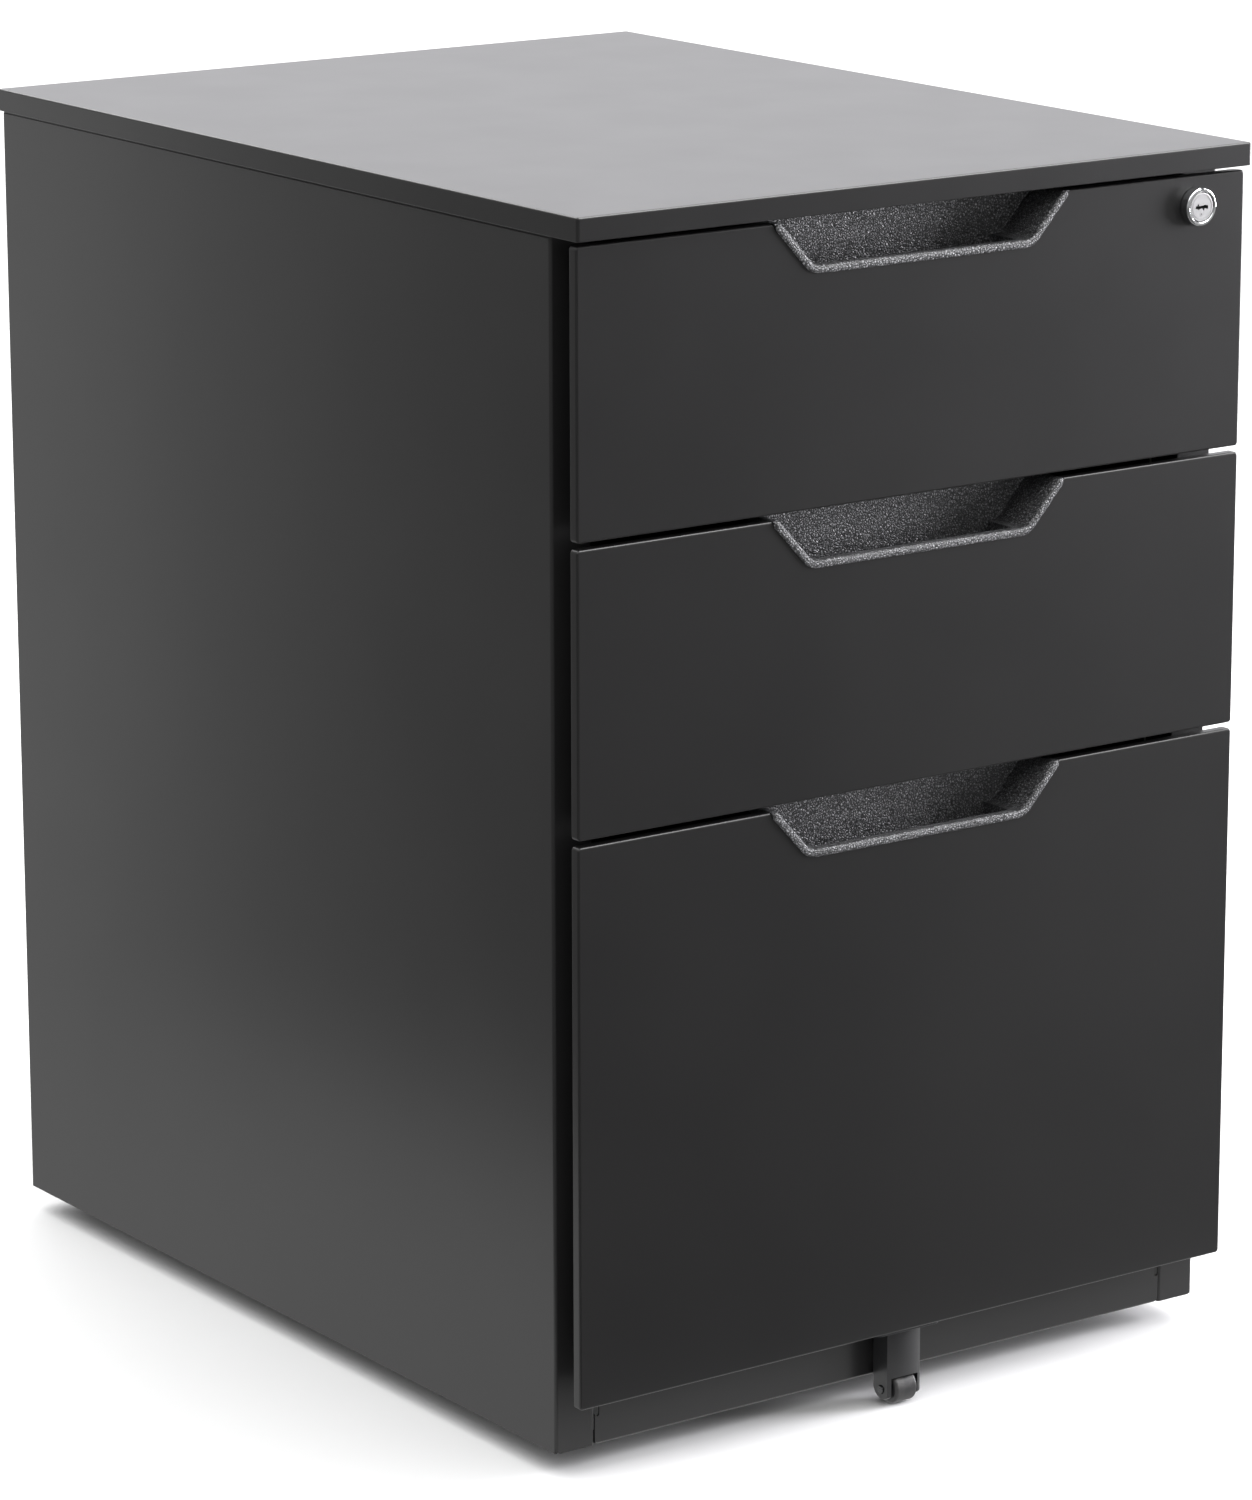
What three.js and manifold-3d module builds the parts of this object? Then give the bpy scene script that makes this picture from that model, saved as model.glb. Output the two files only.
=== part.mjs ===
// Rolling pedestal cabinet: a folded-steel body on four swivel casters, with two box drawers over
// a file drawer, a lock that holds all three, and an anti-tip wheel under the file drawer.
// Millimetres. +X is right as seen from the front, +Y is towards the back, +Z is up.
// The origin is on the floor, under the middle of the cabinet's bounding box.
import * as THREE from "three";
import { mergeVertices } from "three/addons/utils/BufferGeometryUtils.js";
import Module from "manifold-3d";

// ---- Driving dimensions ----

const HEIGHT = 600;
const BODY_WIDTH = 390;
const BODY_DEPTH = 492;
const BODY_BOTTOM = 12.7; // the side panels' clearance over the floor
const SHEET = 1; // steel of the body and drawers
const GAP = 0.3; // between pieces that touch

// Top panel: a plate with a skirt all round, which covers the drawer fronts' top edge.
const CAP_SHEET = 1.2;
const CAP_SKIRT = 11.2;
const CAP_FRONT = 23.4; // reach in front of the side panels
const CAP_RETURN = 21; // flange folded back under the front skirt

// Side panels: folded round into a hollow post at the front and at the back.
const POST_WIDTH = 22;
const FRONT_LIP = 18;
const REAR_LIP = 60;

const TOE_RAIL_TOP = 54;
const TOE_RAIL_FLANGE = 15;
const HEADER_BOTTOM = 583;
const HEADER_SETBACK = 5; // leaves room for the top drawer's finger pull
const HEADER_DEPTH = 22;
const BACK_FLANGE = 15;
const PAN_FLANGE = 20;
const PAN_SETBACK = 2; // from the toe rail and the back panel
const POST_CLEARANCE = 1; // between the base pan and the posts' lips

// Drawers. Each front is a shallow folded pan; the tray behind it is narrower by the slides.
const FACE = 20.2; // the fronts' outer faces, in front of the side panels
const FRONT_DEPTH = 5.5;
const FRONT_HEM = 12;
const TRAY_HALF = 160;
const TRAY_LENGTH = 454;
const TRAY_DROP = 43.5; // from a front's top edge down to its tray's rim
const DRAWERS = [
  { name: "top", top: 586.5, bottom: 452, floor: 460, slide: 500 },
  { name: "middle", top: 449, bottom: 314, floor: 322, slide: 362 },
  { name: "bottom", top: 311, bottom: 40.3, floor: 58, slide: 150 },
];

// Ball-bearing slides: three nested channels, with the balls' room between them.
const SLIDE_LENGTH = 450;
const SLIDE_WALL = 1.2;
const SLIDE_START = 2; // behind the side panels' front edge
const SLIDE_MEMBERS = {
  outer: { web: 172.7, reach: 163.8, half: 23, length: SLIDE_LENGTH },
  middle: { web: 169.2, reach: 162.6, half: 18.7, length: 427 },
  inner: { web: 160.3, reach: 166.8, half: 14.5, length: 437 },
};

// Finger pull: a trapezoid cup let into the top edge of each front, with a raised rim.
const PULL_TOP_HALF = 87.8;
const PULL_BOTTOM_HALF = 65;
const PULL_HEIGHT = 25;
const PULL_CORNER = 9;
const PULL_RIM = 4.5;
const PULL_PROUD = 1.5;
const PULL_OVER_TOP = 0.7;
const PULL_DEPTH = 22;
const PULL_WALL = 2;
const WELL_HALF = 58; // the finger well, behind and below the rim
const WELL_DROP = 12;
const NOTCH_INSET = 1; // the notch's edge lies under the rim by this much

// Lock: a cylinder in the top front, whose tail pin lifts the bar behind the right-hand post.
const LOCK_X = 164.1;
const LOCK_Z = 571.8;
const LOCK_PROUD = 5.6;
const LOCK_RIM_RADIUS = 9.25;
const LOCK_BARREL_RADIUS = 8;
const LOCK_PLUG_RADIUS = 7;
const LOCK_BARREL_END = 21;
const LOCK_NUT_RADIUS = 12;
const LOCK_NUT_THICK = 3;
const CAM_THICK = 2;
const KEYHOLE = [7.7, 2, 12]; // width, height, depth
const TAIL_OFFSET = 4; // the pin starts this far left of and below the lock's axis
const TAIL_RADIUS = 1.6;
const TAIL_END = 44.2;
const TAIL_CLEARANCE = 0.4;
const BAR_X = 175;
const BAR_THICK = 2;
const BAR_FRONT = 3;
const BAR_BACK = 22;
const BAR_LIFT = 8;
const BAR_BOTTOM = 232;
const BAR_TOP = 574;
const STUD_HEIGHTS = [300, 470];
const STUD_Y = 9;
const STUD_RADIUS = 2;
const STUD_HEAD = { radius: 3.6, clearance: 0.6, thickness: 1.4 };
const HEAD_MARGIN = 4; // steel round the head's slot
const CATCH = { reach: 6, height: 6, front: 23, back: 30, belowRim: 7 };
const HOOK_CLEARANCE = 2;
const HOOK_REACH = 162.5;

// File rails, on which hanging folders ride.
const RAIL_FACE = 158.7;
const RAIL_SHEET = 1.3;
const RAIL_LOW = 240;
const RAIL_HIGH = 292;
const RAIL_START = 6; // behind the side panels' front edge
const RAIL_END_CLEARANCE = 2;

// Anti-tip wheel under the file drawer.
const TIP_WHEEL_RADIUS = 7.8;
const TIP_WHEEL_WIDTH = 13;
const TIP_AXLE_Y = -9.5;
const TIP_AXLE_Z = 8.3;
const TIP_AXLE_RADIUS = 2;
const TIP_HALF = 10;
const TIP_CHEEK = 2;
const TIP_ROUND = 7;
const TIP_ROUND_Z = 10;
const TIP_SHIELD_BOTTOM = 15.5;
const TIP_FLANGE_HALF = 19;
const TIP_FLANGE_LIP = 2; // reach in front of the housing
const APRON_HALF = 45;
const APRON_CLEARANCE = 1.5; // in front of the toe rail

// Casters.
const CASTER_HEIGHT = 50;
const CASTER_X = 140;
const CASTER_INSET = 60; // from the side panels' front and rear edges
const CASTER_TRAIL = 12;
const CASTER_RADIUS = 16;
const CASTER_WIDTH = 14;
const CASTER_PLATE = 38;
const CASTER_PLATE_SHEET = 2;
const RACE_RADIUS = 13;
const KINGPIN_RADIUS = 3.5;
const FORK_TOP = 44.7;
const FORK_SHEET = 1.5;
const FORK_INNER = 8.7;
const FORK_BOSS = 6;
const FORK_SHOULDER = 5; // straight drop of the leg's front edge, under the crown
const CASTER_AXLE_RADIUS = 3;
const AXLE_HEAD = { radius: 4.5, thickness: 1.2 };
const KINGPIN_REACH = 4; // below the top of the fork's crown
const WHEEL_HUB = 3; // wall of the hub round its bore
const WHEEL_RIM = 3;
const WHEEL_DISH = 2;
const TREAD_CHAMFER = 1.5;

const ROUND = 20; // sides of a round piece
const FINE_ROUND = 12; // sides of a pin

// ---- Places worked out from them ----

const CAP_OVER = CAP_SHEET + GAP; // the skirt stands outside the side panels
const LOCK_FRONT = FACE + LOCK_PROUD;
const FRONT_Y = LOCK_FRONT - (LOCK_FRONT + BODY_DEPTH + CAP_OVER) / 2;
const REAR_Y = FRONT_Y + BODY_DEPTH;
const HALF = BODY_WIDTH / 2;
const POST_INNER = HALF - POST_WIDTH;
const FACE_Y = FRONT_Y - FACE;
const TRAY_Y = FACE_Y + FRONT_DEPTH + GAP;
const BODY_TOP = HEIGHT - CAP_SHEET - GAP;
const PAN_Z = CASTER_HEIGHT + GAP;
const SIDES = { left: -1, right: 1 };

// ---- Materials ----

function paint(color, roughness, metalness) {
  return () => new THREE.MeshStandardMaterial({ color, roughness, metalness });
}

const blackCoat = paint(0x2b2a2b, 0.38, 0.2);
const trayCoat = paint(0x262627, 0.5, 0.2);
const pullPlastic = paint(0x3d3e40, 0.62, 0);
const zincSteel = paint(0xb4b7b9, 0.34, 0.9);
const chrome = paint(0xdcdde0, 0.12, 1);
const darkPlastic = paint(0x1b1b1c, 0.5, 0);
const tyre = paint(0x161616, 0.72, 0);

// ---- Shapes and solids ----

const wasm = await Module();
wasm.setup();

function toSolid(geometry) {
  const loose = geometry.index ? geometry.toNonIndexed() : geometry;
  const bare = new THREE.BufferGeometry();
  bare.setAttribute("position", loose.getAttribute("position"));
  const merged = mergeVertices(bare, 1e-4);
  const vertProperties = merged.attributes.position.array;
  const triVerts = new Uint32Array(merged.index.array);
  return new wasm.Manifold(new wasm.Mesh({ numProp: 3, vertProperties, triVerts }));
}

function toGeometry(solid) {
  const mesh = solid.getMesh();
  const shared = new THREE.BufferGeometry();
  shared.setAttribute("position", new THREE.BufferAttribute(mesh.vertProperties, 3));
  shared.setIndex(new THREE.BufferAttribute(mesh.triVerts, 1));
  const flat = shared.toNonIndexed();
  flat.computeVertexNormals();
  return flat;
}

function join(first, ...others) {
  return toGeometry(others.reduce((sum, g) => sum.add(toSolid(g)), toSolid(first)));
}

function cut(body, ...tools) {
  return toGeometry(tools.reduce((rest, g) => rest.subtract(toSolid(g)), toSolid(body)));
}

// A block between two opposite corners.
function block(x, y, z) {
  const size = [x, y, z].map(([low, high]) => high - low);
  const middle = [x, y, z].map(([low, high]) => (low + high) / 2);
  return new THREE.BoxGeometry(...size).translate(...middle);
}

// Extrusions of a flat outline: drawn in XY and run along Z, in YZ along X, or in XZ along Y.
function alongZ(shape, [low, high], curveSegments = 6) {
  const options = { depth: high - low, bevelEnabled: false, curveSegments };
  return new THREE.ExtrudeGeometry(shape, options).translate(0, 0, low);
}

function alongX(shape, [low, high]) {
  const turn = new THREE.Matrix4().makeBasis(
    new THREE.Vector3(0, 1, 0),
    new THREE.Vector3(0, 0, 1),
    new THREE.Vector3(1, 0, 0),
  );
  return alongZ(shape, [low, high]).applyMatrix4(turn);
}

function alongY(shape, [low, high]) {
  return alongZ(shape, [-high, -low]).rotateX(Math.PI / 2);
}

// The outline of a sheet folded along a path, with the sheet's thickness on the path's left.
function folded(path, thickness = SHEET) {
  const outer = path.map(([a, b]) => new THREE.Vector2(a, b));
  const left = (from, to) => {
    const run = to.clone().sub(from).normalize();
    return new THREE.Vector2(-run.y, run.x);
  };
  const inner = outer.map((point, i) => {
    const last = outer.length - 1;
    const before = left(outer[Math.max(i - 1, 0)], outer[Math.max(i, 1)]);
    const after = left(outer[Math.min(i, last - 1)], outer[Math.min(i + 1, last)]);
    const mitre = before.clone().add(after).divideScalar(1 + before.dot(after));
    return point.clone().addScaledVector(mitre, thickness);
  });
  return new THREE.Shape([...outer, ...inner.reverse()]);
}

// A round bar about an axis through the given middle, between two stations along that axis.
function bar(axis, radius, [low, high], middle, sides = ROUND) {
  const geometry = new THREE.CylinderGeometry(radius, radius, high - low, sides);
  geometry.translate(0, (low + high) / 2, 0);
  if (axis === "x") geometry.rotateZ(-Math.PI / 2);
  if (axis === "z") geometry.rotateX(Math.PI / 2);
  return geometry.translate(...middle);
}

// A turned piece about X or Y: its profile is [radius, station] pairs that close on themselves.
function turned(axis, profile, middle) {
  const points = profile.map(([radius, station]) => new THREE.Vector2(radius, station));
  const geometry = new THREE.LatheGeometry([...points, points[0]], ROUND);
  if (axis === "x") geometry.rotateZ(-Math.PI / 2);
  return geometry.translate(...middle);
}

// ---- The assembly ----

const group = new THREE.Group();

function add(name, geometry, material) {
  const mesh = new THREE.Mesh(geometry, material());
  mesh.name = name;
  group.add(mesh);
}

// ---- Body ----

function topPanel() {
  const x = HALF + CAP_OVER;
  const front = FRONT_Y - CAP_FRONT;
  const rear = REAR_Y + CAP_OVER;
  const low = HEIGHT - CAP_SKIRT;
  const whole = block([-x, x], [front, rear], [low, HEIGHT]);
  const under = HEIGHT - CAP_SHEET;
  const hollow = block(
    [-x + CAP_SHEET, x - CAP_SHEET],
    [front + CAP_SHEET, rear - CAP_SHEET],
    [low + CAP_SHEET, under],
  );
  const mouth = block(
    [-x + CAP_SHEET, x - CAP_SHEET],
    [front + CAP_RETURN, rear - CAP_SHEET],
    [low - 1, low + 2 * CAP_SHEET],
  );
  return cut(whole, hollow, mouth);
}

function sidePanel(side) {
  const path = [
    [side * POST_INNER, FRONT_Y + FRONT_LIP],
    [side * POST_INNER, FRONT_Y],
    [side * HALF, FRONT_Y],
    [side * HALF, REAR_Y],
    [side * POST_INNER, REAR_Y],
    [side * POST_INNER, REAR_Y - REAR_LIP],
  ];
  return alongZ(folded(path, side * SHEET), [BODY_BOTTOM, BODY_TOP]);
}

// Headed studs on the right-hand post's lip, which guide the lock bar.
function guideStuds() {
  const lip = POST_INNER + SHEET / 2;
  const headStart = BAR_X + BAR_THICK + STUD_HEAD.clearance;
  const headEnd = headStart + STUD_HEAD.thickness;
  return STUD_HEIGHTS.map((z) => {
    const middle = [0, FRONT_Y + STUD_Y, z];
    const shank = bar("x", STUD_RADIUS, [lip, headEnd - GAP], middle, FINE_ROUND);
    return join(shank, bar("x", STUD_HEAD.radius, [headStart, headEnd], middle, FINE_ROUND));
  });
}

function backPanel() {
  const x = POST_INNER - GAP;
  const path = [
    [x, REAR_Y - BACK_FLANGE],
    [x, REAR_Y],
    [-x, REAR_Y],
    [-x, REAR_Y - BACK_FLANGE],
  ];
  return alongZ(folded(path), [BODY_BOTTOM, BODY_TOP]);
}

function basePan() {
  const x = HALF - SHEET - GAP;
  const tongue = POST_INNER - 2 * SHEET;
  const front = FRONT_Y + FRONT_LIP + POST_CLEARANCE;
  const rear = REAR_Y - REAR_LIP - POST_CLEARANCE;
  const length = [FRONT_Y + PAN_SETBACK, REAR_Y - PAN_SETBACK];
  const plate = block([-x, x], [front, rear], [PAN_Z, PAN_Z + SHEET]);
  const run = block([-tongue, tongue], length, [PAN_Z, PAN_Z + SHEET]);
  const flanges = Object.values(SIDES).map((side) => {
    const faces = [side * (x - SHEET), side * x].sort((a, b) => a - b);
    return block(faces, [front, rear], [PAN_Z - PAN_FLANGE, PAN_Z + SHEET]);
  });
  return join(plate, run, ...flanges);
}

function toeRail() {
  const path = [
    [FRONT_Y + TOE_RAIL_FLANGE, BODY_BOTTOM],
    [FRONT_Y, BODY_BOTTOM],
    [FRONT_Y, TOE_RAIL_TOP],
    [FRONT_Y + TOE_RAIL_FLANGE, TOE_RAIL_TOP],
  ];
  const x = POST_INNER - GAP;
  return alongX(folded(path, -SHEET), [-x, x]);
}

function headerRail() {
  const front = FRONT_Y + HEADER_SETBACK;
  const path = [
    [front + HEADER_DEPTH, BODY_TOP],
    [front, BODY_TOP],
    [front, HEADER_BOTTOM],
    [front + HEADER_DEPTH, HEADER_BOTTOM],
  ];
  const x = POST_INNER - GAP;
  return alongX(folded(path), [-x, x]);
}

add("top_panel", topPanel(), blackCoat);
add("side_panel_left", sidePanel(SIDES.left), blackCoat);
add("side_panel_right", join(sidePanel(SIDES.right), ...guideStuds()), blackCoat);
add("back_panel", backPanel(), blackCoat);
add("base_pan", basePan(), blackCoat);
add("toe_rail", toeRail(), blackCoat);
add("header_rail", headerRail(), blackCoat);

// ---- Slides ----

// A channel that opens away from its web: the inner member's opens outwards, the others' inwards.
function slideMember(member, side, z) {
  const path = [
    [side * member.reach, z + member.half],
    [side * member.web, z + member.half],
    [side * member.web, z - member.half],
    [side * member.reach, z - member.half],
  ];
  const opensInwards = member.web > member.reach;
  const turn = side * (opensInwards ? -1 : 1);
  const start = FRONT_Y + SLIDE_START;
  return alongY(folded(path, turn * SLIDE_WALL), [start, start + member.length]);
}

for (const drawer of DRAWERS) {
  for (const [sideName, side] of Object.entries(SIDES)) {
    for (const [memberName, member] of Object.entries(SLIDE_MEMBERS)) {
      const name = `slide_${memberName}_${drawer.name}_${sideName}`;
      add(name, slideMember(member, side, drawer.slide), zincSteel);
    }
  }
}

// ---- Drawers ----

// The pull's outline in XZ, from the front's top edge down, drawn in by a margin all round.
function pullOutline(inset, top) {
  const slope = (PULL_TOP_HALF - PULL_BOTTOM_HALF) / PULL_HEIGHT;
  const across = inset * Math.hypot(1, slope);
  const halfAt = (z) => PULL_BOTTOM_HALF + (z + PULL_HEIGHT) * slope - across;
  const low = inset - PULL_HEIGHT;
  const round = PULL_CORNER - inset / 2;
  const rise = round / Math.hypot(1, slope);
  const shape = new THREE.Shape();
  shape.moveTo(halfAt(top), top);
  shape.lineTo(-halfAt(top), top);
  shape.lineTo(-halfAt(low + rise), low + rise);
  shape.quadraticCurveTo(-halfAt(low), low, -halfAt(low) + round, low);
  shape.lineTo(halfAt(low) - round, low);
  shape.quadraticCurveTo(halfAt(low), low, halfAt(low + rise), low + rise);
  shape.closePath();
  return shape;
}

// A finger pull, with its front face at y = 0 and the drawer front's top edge at z = 0.
function fingerPull() {
  const back = PULL_DEPTH + PULL_WALL;
  const behindSkin = SHEET + GAP;
  const wellFloor = -PULL_HEIGHT - WELL_DROP;
  const wellHalf = WELL_HALF + PULL_WALL;
  const rim = alongY(pullOutline(0, PULL_OVER_TOP), [-PULL_PROUD, -GAP]);
  const cup = alongY(pullOutline(NOTCH_INSET + GAP, 0), [-GAP - 0.5, back]);
  const wellTop = PULL_RIM - PULL_HEIGHT;
  const well = block([-wellHalf, wellHalf], [behindSkin, back], [wellFloor - PULL_WALL, wellTop]);
  const mouth = alongY(pullOutline(PULL_RIM, 2), [-PULL_PROUD - 1, PULL_DEPTH]);
  const room = block(
    [-WELL_HALF, WELL_HALF],
    [behindSkin + PULL_WALL, PULL_DEPTH],
    [wellFloor, wellTop + 1],
  );
  return cut(join(rim, cup, well), mouth, room);
}

function drawerFront(height, holdsLock) {
  const hem = FRONT_HEM;
  const whole = block([-HALF, HALF], [0, FRONT_DEPTH], [-height, 0]);
  const hollow = block(
    [-HALF + SHEET, HALF - SHEET],
    [SHEET, FRONT_DEPTH - SHEET],
    [-height + SHEET, -SHEET],
  );
  const opening = block(
    [-HALF + hem, HALF - hem],
    [FRONT_DEPTH - 2 * SHEET, FRONT_DEPTH + 1],
    [-height + hem, -hem],
  );
  const notch = alongY(pullOutline(NOTCH_INSET, 2), [-1, FRONT_DEPTH + 1]);
  const cuts = [hollow, opening, notch];
  if (holdsLock) {
    const middle = [LOCK_X, 0, LOCK_Z - DRAWERS[0].top];
    cuts.push(bar("y", LOCK_BARREL_RADIUS + GAP, [-1, 2 * SHEET], middle));
    cuts.push(bar("y", LOCK_NUT_RADIUS + 2 * GAP, [2 * SHEET, FRONT_DEPTH + 1], middle));
  }
  return cut(whole, ...cuts);
}

// A tray's rim lies below the finger pull; its catch, for the lock bar, is on the right wall.
function tray(drawer) {
  const rim = drawer.top - TRAY_DROP;
  const y = [TRAY_Y, TRAY_Y + TRAY_LENGTH];
  const whole = block([-TRAY_HALF, TRAY_HALF], y, [drawer.floor, rim]);
  const room = block(
    [-TRAY_HALF + SHEET, TRAY_HALF - SHEET],
    [y[0] + SHEET, y[1] - SHEET],
    [drawer.floor + SHEET, rim + 1],
  );
  const catchBottom = rim - CATCH.belowRim;
  const lockCatch = block(
    [TRAY_HALF - SHEET / 2, TRAY_HALF + CATCH.reach],
    [FRONT_Y + CATCH.front, FRONT_Y + CATCH.back],
    [catchBottom, catchBottom + CATCH.height],
  );
  return join(cut(whole, room), lockCatch);
}

// An apron below the file drawer's tray carries the anti-tip wheel.
function tipApron(drawer) {
  const path = [
    [FRONT_Y - APRON_CLEARANCE, drawer.bottom],
    [TRAY_Y, drawer.bottom],
    [TRAY_Y, drawer.floor + SHEET / 2],
  ];
  return alongX(folded(path, -SHEET), [-APRON_HALF, APRON_HALF]);
}

for (const drawer of DRAWERS) {
  const isTop = drawer === DRAWERS[0];
  const isFile = drawer === DRAWERS[2];
  const front = drawerFront(drawer.top - drawer.bottom, isTop);
  add(`drawer_front_${drawer.name}`, front.translate(0, FACE_Y, drawer.top), blackCoat);
  const pull = fingerPull().translate(0, FACE_Y, drawer.top);
  add(`finger_pull_${drawer.name}`, pull, pullPlastic);
  const box = isFile ? join(tray(drawer), tipApron(drawer)) : tray(drawer);
  add(`tray_${drawer.name}`, box, trayCoat);
}

for (const [sideName, side] of Object.entries(SIDES)) {
  const x = [side * RAIL_FACE, side * (RAIL_FACE - RAIL_SHEET)].sort((a, b) => a - b);
  const y = [FRONT_Y + RAIL_START, TRAY_Y + TRAY_LENGTH - SHEET - RAIL_END_CLEARANCE];
  add(`file_rail_${sideName}`, block(x, y, [RAIL_LOW, RAIL_HIGH]), zincSteel);
}

// ---- Lock ----

const LOCK_MIDDLE = [LOCK_X, FACE_Y, LOCK_Z];
const PLUG_BORE = LOCK_PLUG_RADIUS + GAP;

function lockHousing() {
  const chamfer = 1;
  const profile = [
    [PLUG_BORE, -LOCK_PROUD],
    [LOCK_RIM_RADIUS - chamfer, -LOCK_PROUD],
    [LOCK_RIM_RADIUS, -LOCK_PROUD + chamfer],
    [LOCK_RIM_RADIUS, -GAP],
    [LOCK_BARREL_RADIUS, -GAP],
    [LOCK_BARREL_RADIUS, LOCK_BARREL_END],
    [PLUG_BORE, LOCK_BARREL_END],
  ];
  return turned("y", profile, LOCK_MIDDLE);
}

function lockPlug() {
  const [width, height, depth] = KEYHOLE;
  const plug = bar("y", LOCK_PLUG_RADIUS, [GAP - LOCK_PROUD, LOCK_BARREL_END + 1], [0, 0, 0]);
  const keyhole = block(
    [-width / 2, width / 2],
    [-LOCK_PROUD - 1, depth - LOCK_PROUD],
    [-height / 2, height / 2],
  );
  return cut(plug, keyhole).translate(...LOCK_MIDDLE);
}

function lockCam() {
  const start = LOCK_BARREL_END + 1 + GAP;
  const disc = bar("y", LOCK_BARREL_RADIUS, [start, start + CAM_THICK], [0, 0, 0]);
  const place = [-TAIL_OFFSET, 0, -TAIL_OFFSET];
  const pin = bar("y", TAIL_RADIUS, [start + CAM_THICK / 2, TAIL_END], place, FINE_ROUND);
  return join(disc, pin).translate(...LOCK_MIDDLE);
}

function lockNut() {
  const start = SHEET + GAP;
  const end = start + LOCK_NUT_THICK;
  const hexagon = bar("y", LOCK_NUT_RADIUS, [start, end], LOCK_MIDDLE, 6);
  const bore = bar("y", LOCK_BARREL_RADIUS + GAP, [0, end + 1], LOCK_MIDDLE);
  return cut(hexagon, bore);
}

// The bar: a strip behind the post's lip, a slotted head for the tail pin, and a hook per drawer.
function lockBar() {
  const x = [BAR_X, BAR_X + BAR_THICK];
  const tab = [FRONT_Y + BAR_BACK - BAR_THICK, FRONT_Y + BAR_BACK];
  const strip = block(x, [FRONT_Y + BAR_FRONT, FRONT_Y + BAR_BACK], [BAR_BOTTOM, BAR_TOP]);
  const hooks = DRAWERS.map((drawer) => {
    const top = drawer.top - TRAY_DROP - CATCH.belowRim - HOOK_CLEARANCE;
    return block([HOOK_REACH, x[1]], tab, [top - BAR_LIFT, top]);
  });
  const pinZ = LOCK_Z - TAIL_OFFSET;
  const pinX = LOCK_X - TAIL_OFFSET;
  const swing = TAIL_OFFSET * (Math.SQRT2 - 1);
  const slotHalf = TAIL_RADIUS + TAIL_CLEARANCE;
  const head = block(
    [pinX - swing - slotHalf - HEAD_MARGIN, x[1]],
    tab,
    [pinZ - slotHalf - HEAD_MARGIN, BAR_TOP],
  );
  const pinSlot = block(
    [pinX - swing - slotHalf, pinX + slotHalf],
    [tab[0] - 1, tab[1] + 1],
    [pinZ - slotHalf, pinZ + slotHalf],
  );
  const guideSlots = STUD_HEIGHTS.map((z) => {
    const clear = STUD_RADIUS + TAIL_CLEARANCE;
    const y = FRONT_Y + STUD_Y;
    return block([x[0] - 1, x[1] + 1], [y - clear, y + clear], [z - BAR_LIFT - clear, z + clear]);
  });
  return cut(join(strip, head, ...hooks), pinSlot, ...guideSlots);
}

add("lock_housing", lockHousing(), chrome);
add("lock_plug", lockPlug(), chrome);
add("lock_cam", lockCam(), zincSteel);
add("lock_nut", lockNut(), zincSteel);
add("lock_bar", lockBar(), zincSteel);

// ---- Anti-tip wheel ----

function tipBracket() {
  const top = DRAWERS[2].bottom - GAP;
  const flangeLow = top - SHEET;
  const [front, rear] = [TIP_AXLE_Y - TIP_ROUND, TIP_AXLE_Y + TIP_ROUND];
  const cheek = new THREE.Shape();
  cheek.moveTo(FRONT_Y + rear, top - SHEET / 2);
  cheek.lineTo(FRONT_Y + front, top - SHEET / 2);
  cheek.lineTo(FRONT_Y + front, TIP_ROUND_Z);
  cheek.absarc(FRONT_Y + TIP_AXLE_Y, TIP_ROUND_Z, TIP_ROUND, Math.PI, 2 * Math.PI, false);
  cheek.closePath();
  const cheeks = [
    alongX(cheek, [-TIP_HALF, -TIP_HALF + TIP_CHEEK]),
    alongX(cheek, [TIP_HALF - TIP_CHEEK, TIP_HALF]),
  ];
  const shield = block(
    [-TIP_HALF, TIP_HALF],
    [FRONT_Y + front, FRONT_Y + front + TIP_CHEEK],
    [TIP_SHIELD_BOTTOM, top - SHEET / 2],
  );
  const flange = block(
    [-TIP_FLANGE_HALF, TIP_FLANGE_HALF],
    [FRONT_Y + front - TIP_FLANGE_LIP, FRONT_Y - APRON_CLEARANCE],
    [flangeLow, top],
  );
  const middle = [0, FRONT_Y + TIP_AXLE_Y, TIP_AXLE_Z];
  const span = [-TIP_HALF - 1, TIP_HALF + 1];
  const bore = bar("x", TIP_AXLE_RADIUS + GAP, span, middle, FINE_ROUND);
  return cut(join(flange, shield, ...cheeks), bore);
}

function tipWheel() {
  const bore = TIP_AXLE_RADIUS + GAP;
  const half = TIP_WHEEL_WIDTH / 2;
  const profile = [
    [bore, -half],
    [TIP_WHEEL_RADIUS - 1, -half],
    [TIP_WHEEL_RADIUS, -half + 1],
    [TIP_WHEEL_RADIUS, half - 1],
    [TIP_WHEEL_RADIUS - 1, half],
    [bore, half],
  ];
  return turned("x", profile, [0, FRONT_Y + TIP_AXLE_Y, TIP_AXLE_Z]);
}

function tipAxle() {
  const reach = TIP_HALF + 0.8;
  const middle = [0, FRONT_Y + TIP_AXLE_Y, TIP_AXLE_Z];
  return bar("x", TIP_AXLE_RADIUS, [-reach, reach], middle, FINE_ROUND);
}

add("anti_tip_bracket", tipBracket(), darkPlastic);
add("anti_tip_wheel", tipWheel(), tyre);
add("anti_tip_axle", tipAxle(), zincSteel);

// ---- Casters, each about its swivel axis, trailing towards the back ----

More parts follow.
